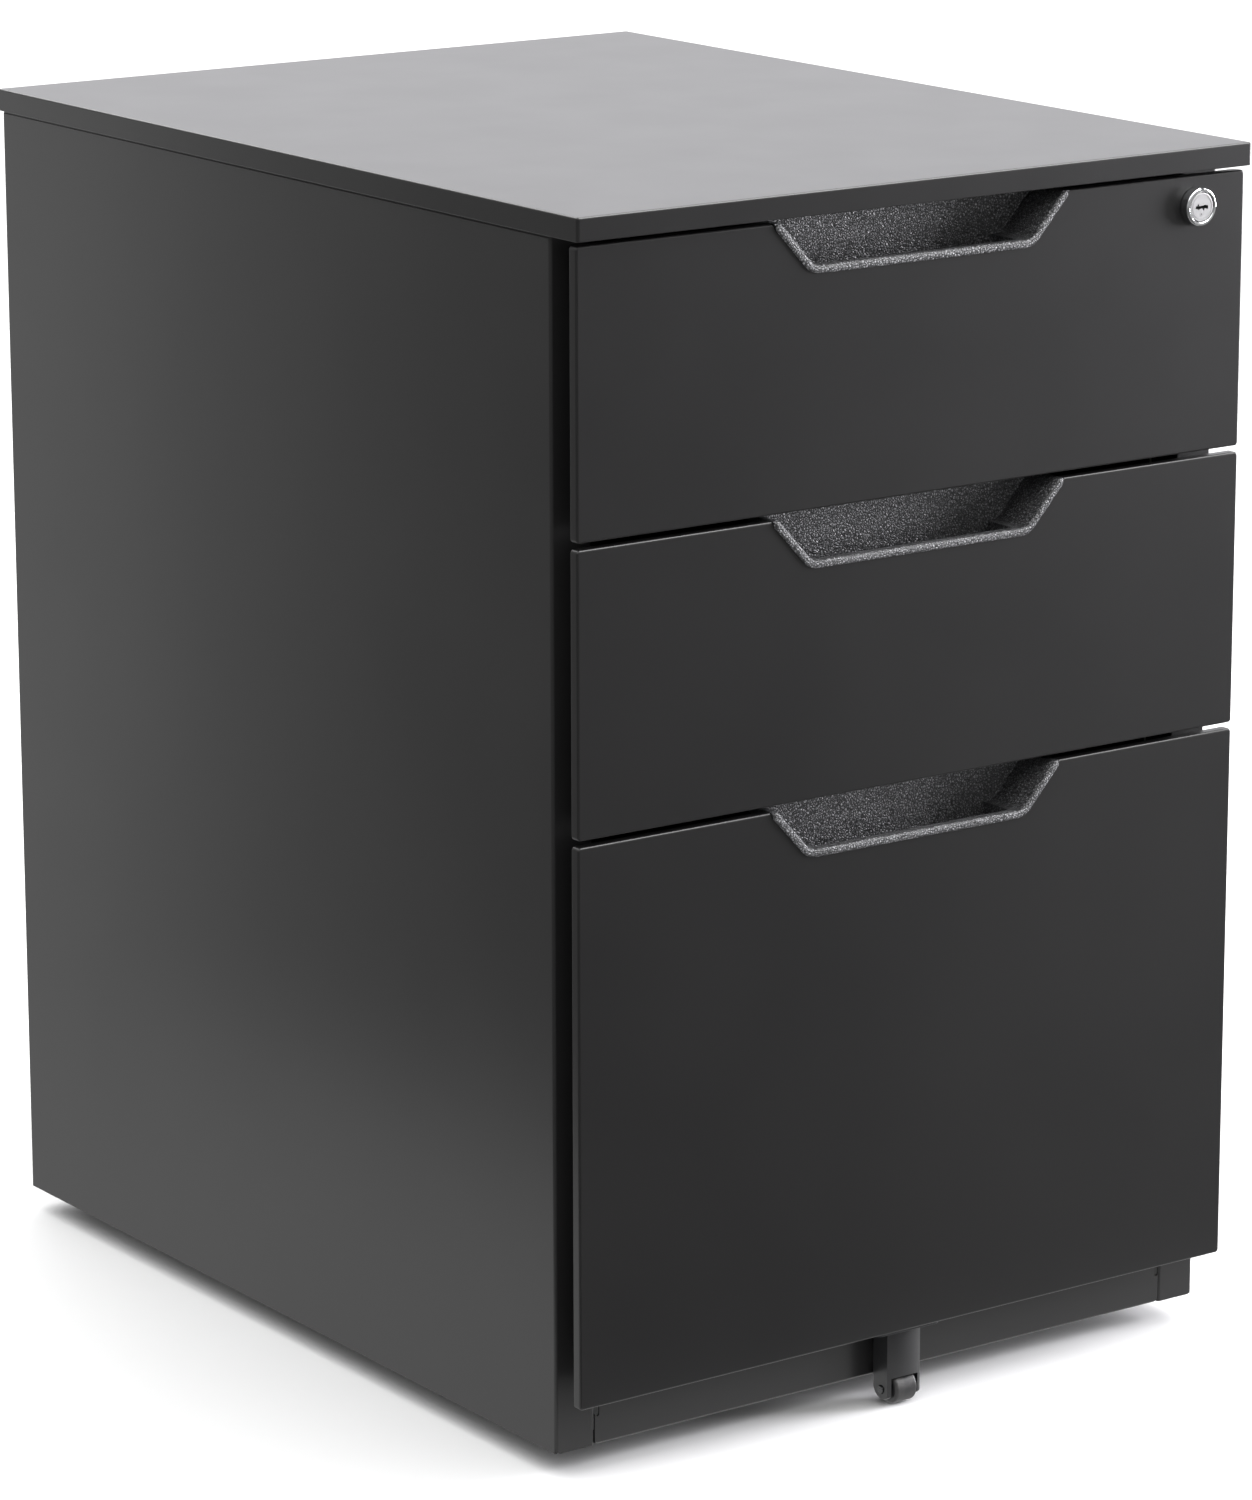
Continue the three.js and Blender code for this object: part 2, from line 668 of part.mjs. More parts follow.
function casterPlate() {
  const half = CASTER_PLATE / 2;
  const low = CASTER_HEIGHT - CASTER_PLATE_SHEET;
  const plate = block([-half, half], [-half, half], [low, CASTER_HEIGHT]);
  const race = bar("z", RACE_RADIUS, [FORK_TOP + GAP, low + 1], [0, 0, 0]);
  const pinSpan = [FORK_TOP - KINGPIN_REACH, low];
  const kingpin = bar("z", KINGPIN_RADIUS, pinSpan, [0, 0, 0], FINE_ROUND);
  return join(plate, race, kingpin);
}

function casterFork() {
  const half = RACE_RADIUS - 2;
  const low = FORK_TOP - FORK_SHEET;
  const leg = new THREE.Shape();
  leg.moveTo(-half, low + FORK_SHEET / 2);
  leg.lineTo(-half, low - FORK_SHOULDER);
  leg.lineTo(CASTER_TRAIL - FORK_BOSS, CASTER_RADIUS);
  leg.absarc(CASTER_TRAIL, CASTER_RADIUS, FORK_BOSS, Math.PI, 2 * Math.PI, false);
  leg.lineTo(half, low + FORK_SHEET / 2);
  leg.closePath();
  const crown = bar("z", RACE_RADIUS, [low, FORK_TOP], [0, 0, 0]);
  const outer = FORK_INNER + FORK_SHEET;
  const legs = [alongX(leg, [-outer, -FORK_INNER]), alongX(leg, [FORK_INNER, outer])];
  const middle = [0, CASTER_TRAIL, CASTER_RADIUS];
  const axleBore = CASTER_AXLE_RADIUS + GAP;
  const axleHole = bar("x", axleBore, [-outer - 1, outer + 1], middle, FINE_ROUND);
  const pinBore = KINGPIN_RADIUS + GAP;
  const pinHole = bar("z", pinBore, [low - 1, FORK_TOP + 1], [0, 0, 0], FINE_ROUND);
  return cut(join(crown, ...legs), axleHole, pinHole);
}

function casterWheel() {
  const bore = CASTER_AXLE_RADIUS + GAP;
  const half = CASTER_WIDTH / 2;
  const hub = bore + WHEEL_HUB;
  const rim = CASTER_RADIUS - WHEEL_RIM;
  const flank = [
    [bore, half],
    [hub, half],
    [hub + 1, half - WHEEL_DISH],
    [rim - 1, half - WHEEL_DISH],
    [rim, half],
    [CASTER_RADIUS - TREAD_CHAMFER, half],
    [CASTER_RADIUS, half - TREAD_CHAMFER],
  ];
  const otherFlank = flank.map(([radius, station]) => [radius, -station]);
  return turned("x", [...otherFlank, ...flank.reverse()], [0, CASTER_TRAIL, CASTER_RADIUS]);
}

function casterAxle() {
  const reach = FORK_INNER + FORK_SHEET + GAP;
  const end = reach + AXLE_HEAD.thickness;
  const middle = [0, CASTER_TRAIL, CASTER_RADIUS];
  const heads = [
    bar("x", AXLE_HEAD.radius, [-end, -reach], middle, FINE_ROUND),
    bar("x", AXLE_HEAD.radius, [reach, end], middle, FINE_ROUND),
  ];
  const shank = [GAP - end, end - GAP];
  return join(bar("x", CASTER_AXLE_RADIUS, shank, middle, FINE_ROUND), ...heads);
}

const CASTER_PLACES = {
  front_left: [-CASTER_X, FRONT_Y + CASTER_INSET],
  front_right: [CASTER_X, FRONT_Y + CASTER_INSET],
  rear_left: [-CASTER_X, REAR_Y - CASTER_INSET],
  rear_right: [CASTER_X, REAR_Y - CASTER_INSET],
};

for (const [corner, [x, y]] of Object.entries(CASTER_PLACES)) {
  add(`caster_plate_${corner}`, casterPlate().translate(x, y, 0), zincSteel);
  add(`caster_fork_${corner}`, casterFork().translate(x, y, 0), zincSteel);
  add(`caster_wheel_${corner}`, casterWheel().translate(x, y, 0), tyre);
  add(`caster_axle_${corner}`, casterAxle().translate(x, y, 0), zincSteel);
}

export default group;
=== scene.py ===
import math

import bmesh
import bpy
from mathutils import Matrix, Vector


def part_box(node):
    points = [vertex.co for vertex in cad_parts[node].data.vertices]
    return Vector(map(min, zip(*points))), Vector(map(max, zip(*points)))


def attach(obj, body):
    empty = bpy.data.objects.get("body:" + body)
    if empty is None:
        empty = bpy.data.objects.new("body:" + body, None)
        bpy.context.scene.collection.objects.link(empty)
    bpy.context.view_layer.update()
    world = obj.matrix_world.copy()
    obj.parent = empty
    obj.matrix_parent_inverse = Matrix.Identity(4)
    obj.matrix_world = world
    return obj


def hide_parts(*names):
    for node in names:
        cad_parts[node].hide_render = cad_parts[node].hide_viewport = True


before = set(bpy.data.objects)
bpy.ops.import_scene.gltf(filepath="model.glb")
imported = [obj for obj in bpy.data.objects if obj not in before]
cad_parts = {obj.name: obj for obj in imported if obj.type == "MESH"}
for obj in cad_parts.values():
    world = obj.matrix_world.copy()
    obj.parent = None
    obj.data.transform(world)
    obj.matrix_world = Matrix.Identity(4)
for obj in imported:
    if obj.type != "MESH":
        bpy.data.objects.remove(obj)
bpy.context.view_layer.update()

# Rolling pedestal cabinet, in metres: +X right, +Y to the back, +Z up, standing on z = 0.
MM = 0.001
DRAWERS = ("top", "middle", "bottom")
SIDES = {"left": -1, "right": 1}
CORNERS = ("front_left", "front_right", "rear_left", "rear_right")

# Sheet steel
SHEET = 1.0 * MM
CAP_SHEET = 1.2 * MM
BEND = 0.6 * MM  # inside radius of a fold
CUT_EDGE = 0.12 * MM  # softened edge of cut sheet
ARC_STEPS = 6
GAP = 0.3 * MM
TINY = 0.01 * MM

# ================================================================ mesh building


def link(name, bm):
    """Turns a bmesh into a linked object, as it is."""
    mesh = bpy.data.meshes.new(name)
    bm.to_mesh(mesh)
    bm.free()
    obj = bpy.data.objects.new(name, mesh)
    bpy.context.scene.collection.objects.link(obj)
    return obj


def new_object(name, bm):
    """Turns a bmesh into a linked object whose faces point out."""
    bmesh.ops.remove_doubles(bm, verts=bm.verts, dist=1e-7)
    bmesh.ops.dissolve_degenerate(bm, edges=bm.edges, dist=1e-7)
    bmesh.ops.recalc_face_normals(bm, faces=bm.faces)
    return link(name, bm)


def use_up(obj):
    mesh = obj.data
    bpy.data.objects.remove(obj)
    bpy.data.meshes.remove(mesh)


def place(axis, a, b, station):
    """A point (a, b) of a flat outline, at a station along its axis."""
    return {"x": (station, a, b), "y": (a, station, b), "z": (a, b, station)}[axis]


def soften(bm, offset, angle=50, segments=2):
    """Rounds every edge that is sharper than an angle."""
    limit = math.radians(angle)
    sharp = [e for e in bm.edges if len(e.link_faces) == 2 and e.calc_face_angle(0) > limit]
    bmesh.ops.bevel(
        bm, geom=sharp, offset=offset, segments=segments, profile=0.5, affect="EDGES",
        clamp_overlap=True,
    )


def loft(name, axis, rings, edge=0):
    """A closed solid through (outline points, station) rings, capped at both ends."""
    bm = bmesh.new()
    rows = [
        [bm.verts.new(place(axis, a, b, station)) for a, b in points]
        for points, station in rings
    ]
    count = len(rows[0])
    for row, after in zip(rows, rows[1:]):
        for i in range(count):
            j = (i + 1) % count
            bm.faces.new((row[i], row[j], after[j], after[i]))
    bm.faces.new(rows[0])
    bm.faces.new(rows[-1])
    if edge:
        bmesh.ops.recalc_face_normals(bm, faces=bm.faces)
        soften(bm, edge)
    return new_object(name, bm)


def turn_between(a, b):
    return math.atan2(a.x * b.y - a.y * b.x, a.dot(b))


def turned_by(v, angle):
    c, s = math.cos(angle), math.sin(angle)
    return Vector((c * v.x - s * v.y, s * v.x + c * v.y))


def left_of(start, end):
    run = (end - start).normalized()
    return Vector((-run.y, run.x))


def outline(points, radii, steps=ARC_STEPS):
    """A counter-clockwise outline with round corners, as a function of how far it is drawn in."""
    corners = [Vector(p) for p in points]

    def at(inset):
        result = []
        for i, corner in enumerate(corners):
            first = left_of(corners[i - 1], corner)
            last = left_of(corner, corners[(i + 1) % len(corners)])
            mitre = (first + last) / (1 + first.dot(last))
            if not radii[i]:
                result.append(tuple(corner + mitre * inset))
                continue
            turn = turn_between(first, last)
            side = 1 if turn > 0 else -1
            radius = max(radii[i] - side * inset, TINY)
            centre = corner + mitre * (inset + side * radius)
            for k in range(steps + 1):
                result.append(tuple(centre - side * radius * turned_by(first, turn * k / steps)))
        return result

    return at


def rectangle(a, b, corner, steps=ARC_STEPS):
    points = [(a[0], b[0]), (a[1], b[0]), (a[1], b[1]), (a[0], b[1])]
    return outline(points, [corner] * 4, steps)


def circle(centre, radius, sides=48):
    def at(inset):
        turns = [2 * math.pi * i / sides for i in range(sides)]
        reach = radius - inset
        return [(centre[0] + reach * math.cos(t), centre[1] + reach * math.sin(t)) for t in turns]

    return at


def fillet(end, along, across, direction, steps):
    """(station, inset) pairs that round a body off towards one end, outermost station first."""
    if not along:
        return [(end, 0)]
    turns = [math.pi / 2 * k / steps for k in range(steps, -1, -1)]
    return [
        (end - direction * along * (1 - math.sin(t)), across * (1 - math.cos(t))) for t in turns
    ]


def solid(name, axis, shape, span, first=0, last=0, steps=4, crown=None):
    """An outline run along an axis, with a fillet at each end; crown is the first one's width."""
    start = fillet(span[0], first, crown or first, -1, steps)
    end = fillet(span[1], last, last, 1, steps)
    return loft(name, axis, [(shape(inset), station) for station, inset in start + end[::-1]])


def arc(centre, radius, start, end, steps=12):
    turns = [math.radians(start + (end - start) * k / steps) for k in range(steps + 1)]
    return [(centre[0] + radius * math.cos(t), centre[1] + radius * math.sin(t)) for t in turns]


def plate(name, axis, points, span, edge=0):
    """Any flat outline run along an axis, with softened edges."""
    return loft(name, axis, [(points, station) for station in span], edge)


def cylinder(name, axis, centre, radius, span, edge=0, sides=48):
    """A round bar through a flat centre point (a, b), with filleted ends."""
    return solid(name, axis, circle(centre, radius, sides), span, edge, edge, 3)


def block(name, low, high, radius=0):
    """A box with its corners rounded in plan and at both ends."""
    shape = rectangle((low[0], high[0]), (low[1], high[1]), radius, 3)
    return solid(name, "z", shape, (low[2], high[2]), radius, radius, 3)


def lathe(name, axis, centre, profile, sides=48):
    """A turned piece: (radius, station) pairs that close on themselves or end on the axis."""
    bm = bmesh.new()
    rings = []
    for radius, station in profile:
        turns = [2 * math.pi * i / sides for i in range(sides if radius > TINY else 1)]
        points = [place(axis, radius * math.cos(t), radius * math.sin(t), station) for t in turns]
        rings.append([bm.verts.new(Vector(centre) + Vector(point)) for point in points])
    closed = profile[0][0] > TINY
    for ring, after in zip(rings, rings[1:] + (rings[:1] if closed else [])):
        if len(ring) == len(after) == 1:
            continue
        m, n = len(ring), len(after)
        for i in range(sides):
            j = (i + 1) % sides
            corners = (ring[i % m], ring[j % m], after[j % n], after[i % n])
            bm.faces.new(list(dict.fromkeys(corners)))
    return new_object(name, bm)


def folded(name, axis, path, span, thickness=SHEET, bend=BEND, edge=CUT_EDGE):
    """Sheet folded along a path, with its thickness on the path's left and round folds."""
    corners = [Vector(p) for p in path]
    pairs = []
    for i, corner in enumerate(corners):
        last_index = len(corners) - 1
        first = left_of(corners[max(i - 1, 0)], corners[max(i, 1)])
        last = left_of(corners[min(i, last_index - 1)], corners[min(i + 1, last_index)])
        turn = turn_between(first, last)
        if abs(turn) < 1e-4:
            pairs.append((corner, corner + first * thickness))
            continue
        mitre = (first + last) / (1 + first.dot(last))
        side = 1 if turn > 0 else -1
        near = bend + thickness if turn > 0 else bend  # radius on the path's own side
        far = bend if turn > 0 else bend + thickness
        centre = corner + side * mitre * near
        for k in range(ARC_STEPS + 1):
            normal = side * turned_by(first, turn * k / ARC_STEPS)
            pairs.append((centre - normal * near, centre - normal * far))
    bm = bmesh.new()
    ends = [
        [tuple(bm.verts.new(place(axis, p.x, p.y, station)) for p in pair) for pair in pairs]
        for station in span
    ]
    for end in ends:
        for (a, b), (c, d) in zip(end, end[1:]):
            bm.faces.new((a, b, d, c))
    low, high = ends
    for i in range(len(pairs) - 1):
        for k in (0, 1):
            bm.faces.new((low[i][k], low[i + 1][k], high[i + 1][k], high[i][k]))
    for i in (0, -1):
        bm.faces.new((low[i][0], low[i][1], high[i][1], high[i][0]))
    bmesh.ops.recalc_face_normals(bm, faces=bm.faces)
    soften(bm, edge)
    return new_object(name, bm)


def apply_modifiers(obj):
    graph = bpy.context.evaluated_depsgraph_get()
    made = bpy.data.meshes.new_from_object(obj.evaluated_get(graph))
    old = obj.data
    obj.modifiers.clear()
    obj.data = made
    bpy.data.meshes.remove(old)


def clean(obj):
    """Closes up slivers that a cut leaves."""
    bm = bmesh.new()
    bm.from_mesh(obj.data)
    bmesh.ops.dissolve_degenerate(bm, edges=bm.edges, dist=2e-7)
    bm.to_mesh(obj.data)
    bm.free()


def combine(obj, tools, operation):
    """Cuts or joins tools, which are used up."""
    for tool in tools:
        modifier = obj.modifiers.new(operation, "BOOLEAN")
        modifier.operation = operation
        modifier.solver = "EXACT"
        modifier.object = tool
    apply_modifiers(obj)
    clean(obj)
    for tool in tools:
        use_up(tool)
    return obj


def carve(obj, *tools):
    return combine(obj, tools, "DIFFERENCE")


def fuse(obj, *tools):
    return combine(obj, tools, "UNION")


def gather(name, objects):
    """Joins separate solids into one object, without changing them."""
    bm = bmesh.new()
    for obj in objects:
        bm.from_mesh(obj.data)
        use_up(obj)
    return link(name, bm)


def scatter(name, source, moves):
    """Copies of one small piece as a single object; the source is used up."""
    bm = bmesh.new()
    for move in moves:
        before = len(bm.verts)
        bm.from_mesh(source.data)
        bm.verts.ensure_lookup_table()
        bmesh.ops.transform(bm, matrix=move, verts=bm.verts[before:])
    use_up(source)
    return link(name, bm)


def from_cad(name, node, edge=0.25 * MM):
    """A CAD node's shape with its flat faces made whole and its sharp edges rounded."""
    bm = bmesh.new()
    bm.from_mesh(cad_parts[node].data)
    bmesh.ops.remove_doubles(bm, verts=bm.verts, dist=1e-6)
    bmesh.ops.dissolve_limit(bm, angle_limit=math.radians(1), verts=bm.verts, edges=bm.edges)
    soften(bm, edge)
    return new_object(name, bm)


def shade(obj, angle):
    mesh = obj.data
    mesh.polygons.foreach_set("use_smooth", [True] * len(mesh.polygons))
    mesh.set_sharp_from_angle(angle=math.radians(angle))
    modifier = obj.modifiers.new("normals", "WEIGHTED_NORMAL")
    modifier.keep_sharp = True


def install(obj, body, finish, replaces=(), angle=38):
    """Gives a piece its finish's material and its body, and hides the CAD nodes that it stands for."""
    obj.data.materials.clear()
    obj.data.materials.append(finish["material"])
    shade(obj, angle)
    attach(obj, body)
    if replaces:
        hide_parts(*replaces)
    return obj


# ================================================================ materials


class Surface:
    """A material under construction: one shader, and noise layers that feed it."""

    def __init__(self, name, slot, color, roughness, **sockets):
        self.material = bpy.data.materials.new(name)
        self.material.use_nodes = True
        self.slot = slot
        self.nodes = self.material.node_tree.nodes
        self.links = self.material.node_tree.links
        self.shader = self.nodes["Principled BSDF"]
        self.shader.inputs["Base Color"].default_value = (*color, 1)
        self.shader.inputs["Roughness"].default_value = roughness
        for socket, value in sockets.items():
            self.shader.inputs[socket.replace("_", " ")].default_value = value
        self.place = self.nodes.new("ShaderNodeTexCoord").outputs["Object"]
        self.normal = None

    def finish(self):
        return {"material": self.material, "slot": self.slot}

    def stretched(self, scale):
        node = self.nodes.new("ShaderNodeMapping")
        node.inputs["Scale"].default_value = scale
        self.links.new(self.place, node.inputs["Vector"])
        return node.outputs["Vector"]

    def noise(self, size, detail=2, vector=None):
        """Noise whose features are about a size across, in metres."""
        node = self.nodes.new("ShaderNodeTexNoise")
        node.inputs["Scale"].default_value = 1 / size
        node.inputs["Detail"].default_value = detail
        self.links.new(vector or self.place, node.inputs["Vector"])
        return node.outputs["Fac"]

    def cells(self, size):
        """How far it is to the border between pebbles that are about a size across."""
        node = self.nodes.new("ShaderNodeTexVoronoi")
        node.feature = "DISTANCE_TO_EDGE"
        node.inputs["Scale"].default_value = 1 / size
        self.links.new(self.place, node.inputs["Vector"])
        return node.outputs["Distance"]

    def ramp(self, value, low, high, start=0.0, end=1.0):
        """Maps low..high to start..end."""
        node = self.nodes.new("ShaderNodeMapRange")
        node.interpolation_type = "SMOOTHSTEP"
        node.inputs["From Min"].default_value = low
        node.inputs["From Max"].default_value = high
        node.inputs["To Min"].default_value = start
        node.inputs["To Max"].default_value = end
        self.links.new(value, node.inputs["Value"])
        return node.outputs["Result"]

    def product(self, a, b):
        node = self.nodes.new("ShaderNodeMath")
        node.operation = "MULTIPLY"
        for socket, value in zip(node.inputs, (a, b)):
            self.links.new(value, socket)
        return node.outputs["Value"]

    def color(self, factor, a, b):
        """Blends the base colour from a to b."""
        node = self.nodes.new("ShaderNodeMix")
        node.data_type = "RGBA"
        self.links.new(factor, node.inputs["Factor"])
        for name, value in (("A", a), ("B", b)):
            socket = next(s for s in node.inputs if s.name == name and s.type == "RGBA")
            socket.default_value = (*value, 1)
        result = next(s for s in node.outputs if s.type == "RGBA")
        self.links.new(result, self.shader.inputs["Base Color"])

    def roughness(self, value):
        self.links.new(value, self.shader.inputs["Roughness"])

    def bump(self, height, depth):
        """Adds relief of a depth in metres on top of what is there already."""
        node = self.nodes.new("ShaderNodeBump")
        node.inputs["Strength"].default_value = 1
        node.inputs["Distance"].default_value = depth
        self.links.new(height, node.inputs["Height"])
        if self.normal:
            self.links.new(self.normal, node.inputs["Normal"])
        self.normal = node.outputs["Normal"]
        self.links.new(self.normal, self.shader.inputs["Normal"])


COAT_SPECULAR = 0.45


def powder_coat(name, slot, tone, sheen):
    """Satin black powder coat: faint orange peel, finer pits, and slightly cloudy gloss."""
    s = Surface(name, slot, (tone,) * 3, sheen, Specular_IOR_Level=COAT_SPECULAR)
    dark, pale = (0.92 * tone, 0.9 * tone, 0.92 * tone), (1.1 * tone, 1.07 * tone, 1.08 * tone)
    s.color(s.ramp(s.noise(110 * MM, 2), 0.2, 0.8), dark, pale)
    s.roughness(s.ramp(s.noise(50 * MM, 2), 0.2, 0.8, sheen - 0.008, sheen + 0.008))
    s.bump(s.noise(1.6 * MM, 1), 0.008 * MM)
    s.bump(s.noise(0.35 * MM, 2), 0.003 * MM)
    return s.finish()


def grained_plastic():
    """Moulded leather grain: rounded pebbles with valleys between; the base colour paints a highlight on
    their crowns and shade in their valleys.
    """
    s = Surface("grained_plastic", "grained_black_plastic", (0.05, 0.05, 0.052), 0.36)
    pebbles = s.ramp(s.cells(1.4 * MM), 0.0, 0.3)
    fine = s.noise(0.9 * MM, 2)
    # Painted light in the base colour: the pale crowns are a painted highlight and the dark valleys a
    # painted shade.
    painted_glints_and_shade = s.product(pebbles, s.ramp(fine, 0.38, 0.62, 0.1, 1.0))
    s.color(painted_glints_and_shade, (0.018, 0.018, 0.019), (0.215, 0.217, 0.224))
    s.roughness(s.ramp(fine, 0.3, 0.7, 0.29, 0.42))
    s.bump(pebbles, 0.2 * MM)
    s.bump(fine, 0.1 * MM)
    return s.finish()


def plated_steel(name, tone, sheen):
    s = Surface(name, "zinc_plated_steel", (tone,) * 3, sheen, Metallic=1.0)
    streaks = s.noise(0.5 * MM, 3, s.stretched((1, 0.03, 1)))
    patches = s.noise(20 * MM, 3)
    cool, warm = (0.9 * tone, 0.93 * tone, 0.96 * tone), (1.08 * tone, 1.08 * tone, 1.05 * tone)
    s.color(s.ramp(patches, 0.35, 0.65), cool, warm)
    s.roughness(s.ramp(streaks, 0.3, 0.7, sheen - 0.06, sheen + 0.1))
    s.bump(streaks, 0.004 * MM)
    return s.finish()


def chrome():
    s = Surface("chrome", "lock_chrome", (0.82, 0.83, 0.84), 0.07, Metallic=1.0)
    s.roughness(s.ramp(s.noise(1.5 * MM, 4), 0.35, 0.7, 0.04, 0.11))
    s.bump(s.noise(2.5 * MM, 2), 0.006 * MM)
    return s.finish()


def satin_nickel():
    """The plug's face: pressed metal, duller than the rim."""
    s = Surface("satin_nickel", "lock_chrome", (0.5, 0.5, 0.5), 0.36, Metallic=1.0)
    s.roughness(s.ramp(s.noise(0.6 * MM, 4), 0.3, 0.7, 0.3, 0.44))
    s.bump(s.noise(0.7 * MM, 3), 0.02 * MM)
    return s.finish()


def moulded_plastic():
    s = Surface("moulded_plastic", "black_caster_plastic", (0.014, 0.014, 0.015), 0.3)
    s.roughness(s.ramp(s.noise(4 * MM, 3), 0.3, 0.7, 0.29, 0.38))
    s.bump(s.noise(0.5 * MM, 2), 0.008 * MM)
    return s.finish()


def tyre_rubber():
    s = Surface("tyre_rubber", "black_tyre", (0.02, 0.02, 0.021), 0.45)
    dust = s.noise(5 * MM, 4)
    s.color(s.ramp(dust, 0.4, 0.75), (0.016, 0.016, 0.017), (0.04, 0.038, 0.036))
    s.roughness(s.ramp(dust, 0.3, 0.7, 0.38, 0.55))
    s.bump(s.noise(0.6 * MM, 2), 0.02 * MM)
    return s.finish()


COAT = powder_coat("black_coat", "black_powder_coat", 0.009, 0.3)
BODY_COAT = powder_coat("body_coat", "black_powder_coat", 0.012, 0.305)
TRAY_COAT = powder_coat("tray_coat", "black_tray_coat", 0.022, 0.42)
GRAIN = grained_plastic()
ZINC = plated_steel("zinc_steel", 0.56, 0.36)
BRIGHT_STEEL = plated_steel("bright_steel", 0.7, 0.16)
DARK_STEEL = plated_steel("dark_steel", 0.08, 0.3)
BLACK_SCREW = plated_steel("black_screw", 0.05, 0.28)
CHROME = chrome()
NICKEL = satin_nickel()
PLASTIC = moulded_plastic()
RUBBER = tyre_rubber()

# ================================================================ camera, lights and floor

CAMERA_PLACE = Vector((-1.6752, -2.3829, 1.0119))
CAMERA_AZIMUTH = -35.291
CAMERA_ELEVATION = 14.17
CAMERA_ROLL = -0.1
CAMERA_LENS = 142.2


def make_camera():
    data = bpy.data.cameras.new("camera")
    data.lens = CAMERA_LENS
    data.sensor_width = 36
    data.clip_end = 50
    camera = bpy.data.objects.new("camera", data)
    bpy.context.scene.collection.objects.link(camera)
    a, e = math.radians(CAMERA_AZIMUTH), math.radians(CAMERA_ELEVATION)
    back = Vector((math.sin(a) * math.cos(e), -math.cos(a) * math.cos(e), math.sin(e)))
    camera.location = CAMERA_PLACE
    camera.rotation_mode = "QUATERNION"
    roll = Matrix.Rotation(math.radians(CAMERA_ROLL), 3, "Z").to_quaternion()
    camera.rotation_quaternion = (-back).to_track_quat("-Z", "Y") @ roll
    bpy.context.scene.camera = camera


COOL_WHITE = (0.965, 0.955, 1.0)
# How bright the room is: the floor as gloss sees it, the walls, and what the ceiling adds.
LOWER_ROOM = 0.15
WALLS = 0.38
CEILING = 2.0
# The heights, as the sine of the angle above the horizon, over which the room brightens.
WALL_FADE = (-0.2, 0.05)
CEILING_FADE = (0.4, 0.75)
BACKDROP_RADIUS = 11
BACKDROP_HEIGHT = 24
FLOOR_REACH = 12

# Soft lights: where each stands, what it points at, its size and its power in watts.
SOFTBOXES = {
    "rear_right_softbox": ((1.45, 1.9, 1.35), (0, 0, 0.6), (2.2, 1.2), 10.5),
    "right_softbox": ((2.3, -1.05, 0.75), (0, -0.1, 0.35), (0.9, 1.2), 100),
}
# Cards that gloss reflects: where each stands, which way it faces, its size and its brightness.
# The first gives the left side its sheen, the second the drawer fronts theirs, the next two light
# the top panel's folds, and the last is the pale floor that the sides mirror low down.
CARDS = {
    "rear_left_card": ((-0.41, 0.998, 0.05), (0.573, -0.819, 0), (0.6, 1.4), 1.0),
    "front_right_card": ((0.80, -0.80, 0.15), (-0.573, 0.819, 0), (0.6, 0.9), 0.4),
    "front_edge_card": ((1.1, -0.75, 2.2), (-1.1, 0.5, -1.6), (1.5, 1.5), 11),
    "left_edge_card": ((-0.1, 1.6, 1.75), (-0.05, -1.6, -1.15), (0.9, 0.9), 6),
    "floor_card": ((0, 0.29, -0.001), (0, 0, 1), (0.98, 1.22), 0.9),
}


def area_light(name, location, target, size, power):
    data = bpy.data.lights.new(name, "AREA")
    data.shape = "RECTANGLE"
    data.size, data.size_y = size
    data.energy = power
    data.color = COOL_WHITE
    light = bpy.data.objects.new(name, data)
    light.location = location
    light.rotation_euler = (Vector(target) - Vector(location)).to_track_quat("-Z", "Y").to_euler()
    light.visible_camera = False
    bpy.context.scene.collection.objects.link(light)


def make_world():
    """A dim room with a bright ceiling, which lights the floor evenly."""
    world = bpy.data.worlds.new("studio")
    world.use_nodes = True
    nodes, links = world.node_tree.nodes, world.node_tree.links
    background = nodes["Background"]
    background.inputs["Color"].default_value = (1, 1, 1, 1)
    split = nodes.new("ShaderNodeSeparateXYZ")
    links.new(nodes.new("ShaderNodeTexCoord").outputs["Generated"], split.inputs["Vector"])
    total = nodes.new("ShaderNodeMath")
    bands = [(*WALL_FADE, LOWER_ROOM, WALLS), (*CEILING_FADE, 0, CEILING)]
    for socket, (low, high, start, end) in zip(total.inputs, bands):
        ramp = nodes.new("ShaderNodeMapRange")
        ramp.inputs["From Min"].default_value = low
        ramp.inputs["From Max"].default_value = high
        ramp.inputs["To Min"].default_value = start
        ramp.inputs["To Max"].default_value = end
        links.new(split.outputs["Z"], ramp.inputs["Value"])
        links.new(ramp.outputs["Result"], socket)
    links.new(total.outputs["Value"], background.inputs["Strength"])
    bpy.context.scene.world = world


def make_floor():
    bm = bmesh.new()
    bmesh.ops.create_grid(bm, x_segments=1, y_segments=1, size=FLOOR_REACH)
    floor = new_object("floor", bm)
    s = Surface("floor", "", (0.9, 0.9, 0.9), 0.7)
    s.color(s.ramp(s.noise(0.3, 3), 0.3, 0.7), (0.89, 0.89, 0.89), (0.91, 0.91, 0.91))
    floor.data.materials.append(s.material)
    floor.visible_glossy = False


def glow(obj, strength):
    """Makes a stage piece shine white, without lighting the object directly."""
    s = Surface(obj.name, "", (0, 0, 0), 1.0)
    s.shader.inputs["Emission Color"].default_value = (1, 1, 1, 1)
    s.shader.inputs["Emission Strength"].default_value = strength
    obj.data.materials.append(s.material)
    obj.visible_diffuse = obj.visible_transmission = obj.visible_shadow = False


def make_backdrop():
    """A white wall all round, which only the camera sees."""
    bm = bmesh.new()
    bmesh.ops.create_cone(
        bm, cap_ends=False, segments=64, radius1=BACKDROP_RADIUS, radius2=BACKDROP_RADIUS,
        depth=BACKDROP_HEIGHT, matrix=Matrix.Translation((0, 0, 0.49 * BACKDROP_HEIGHT)),
    )
    wall = new_object("backdrop", bm)
    wall.visible_glossy = False
    glow(wall, 1.0)


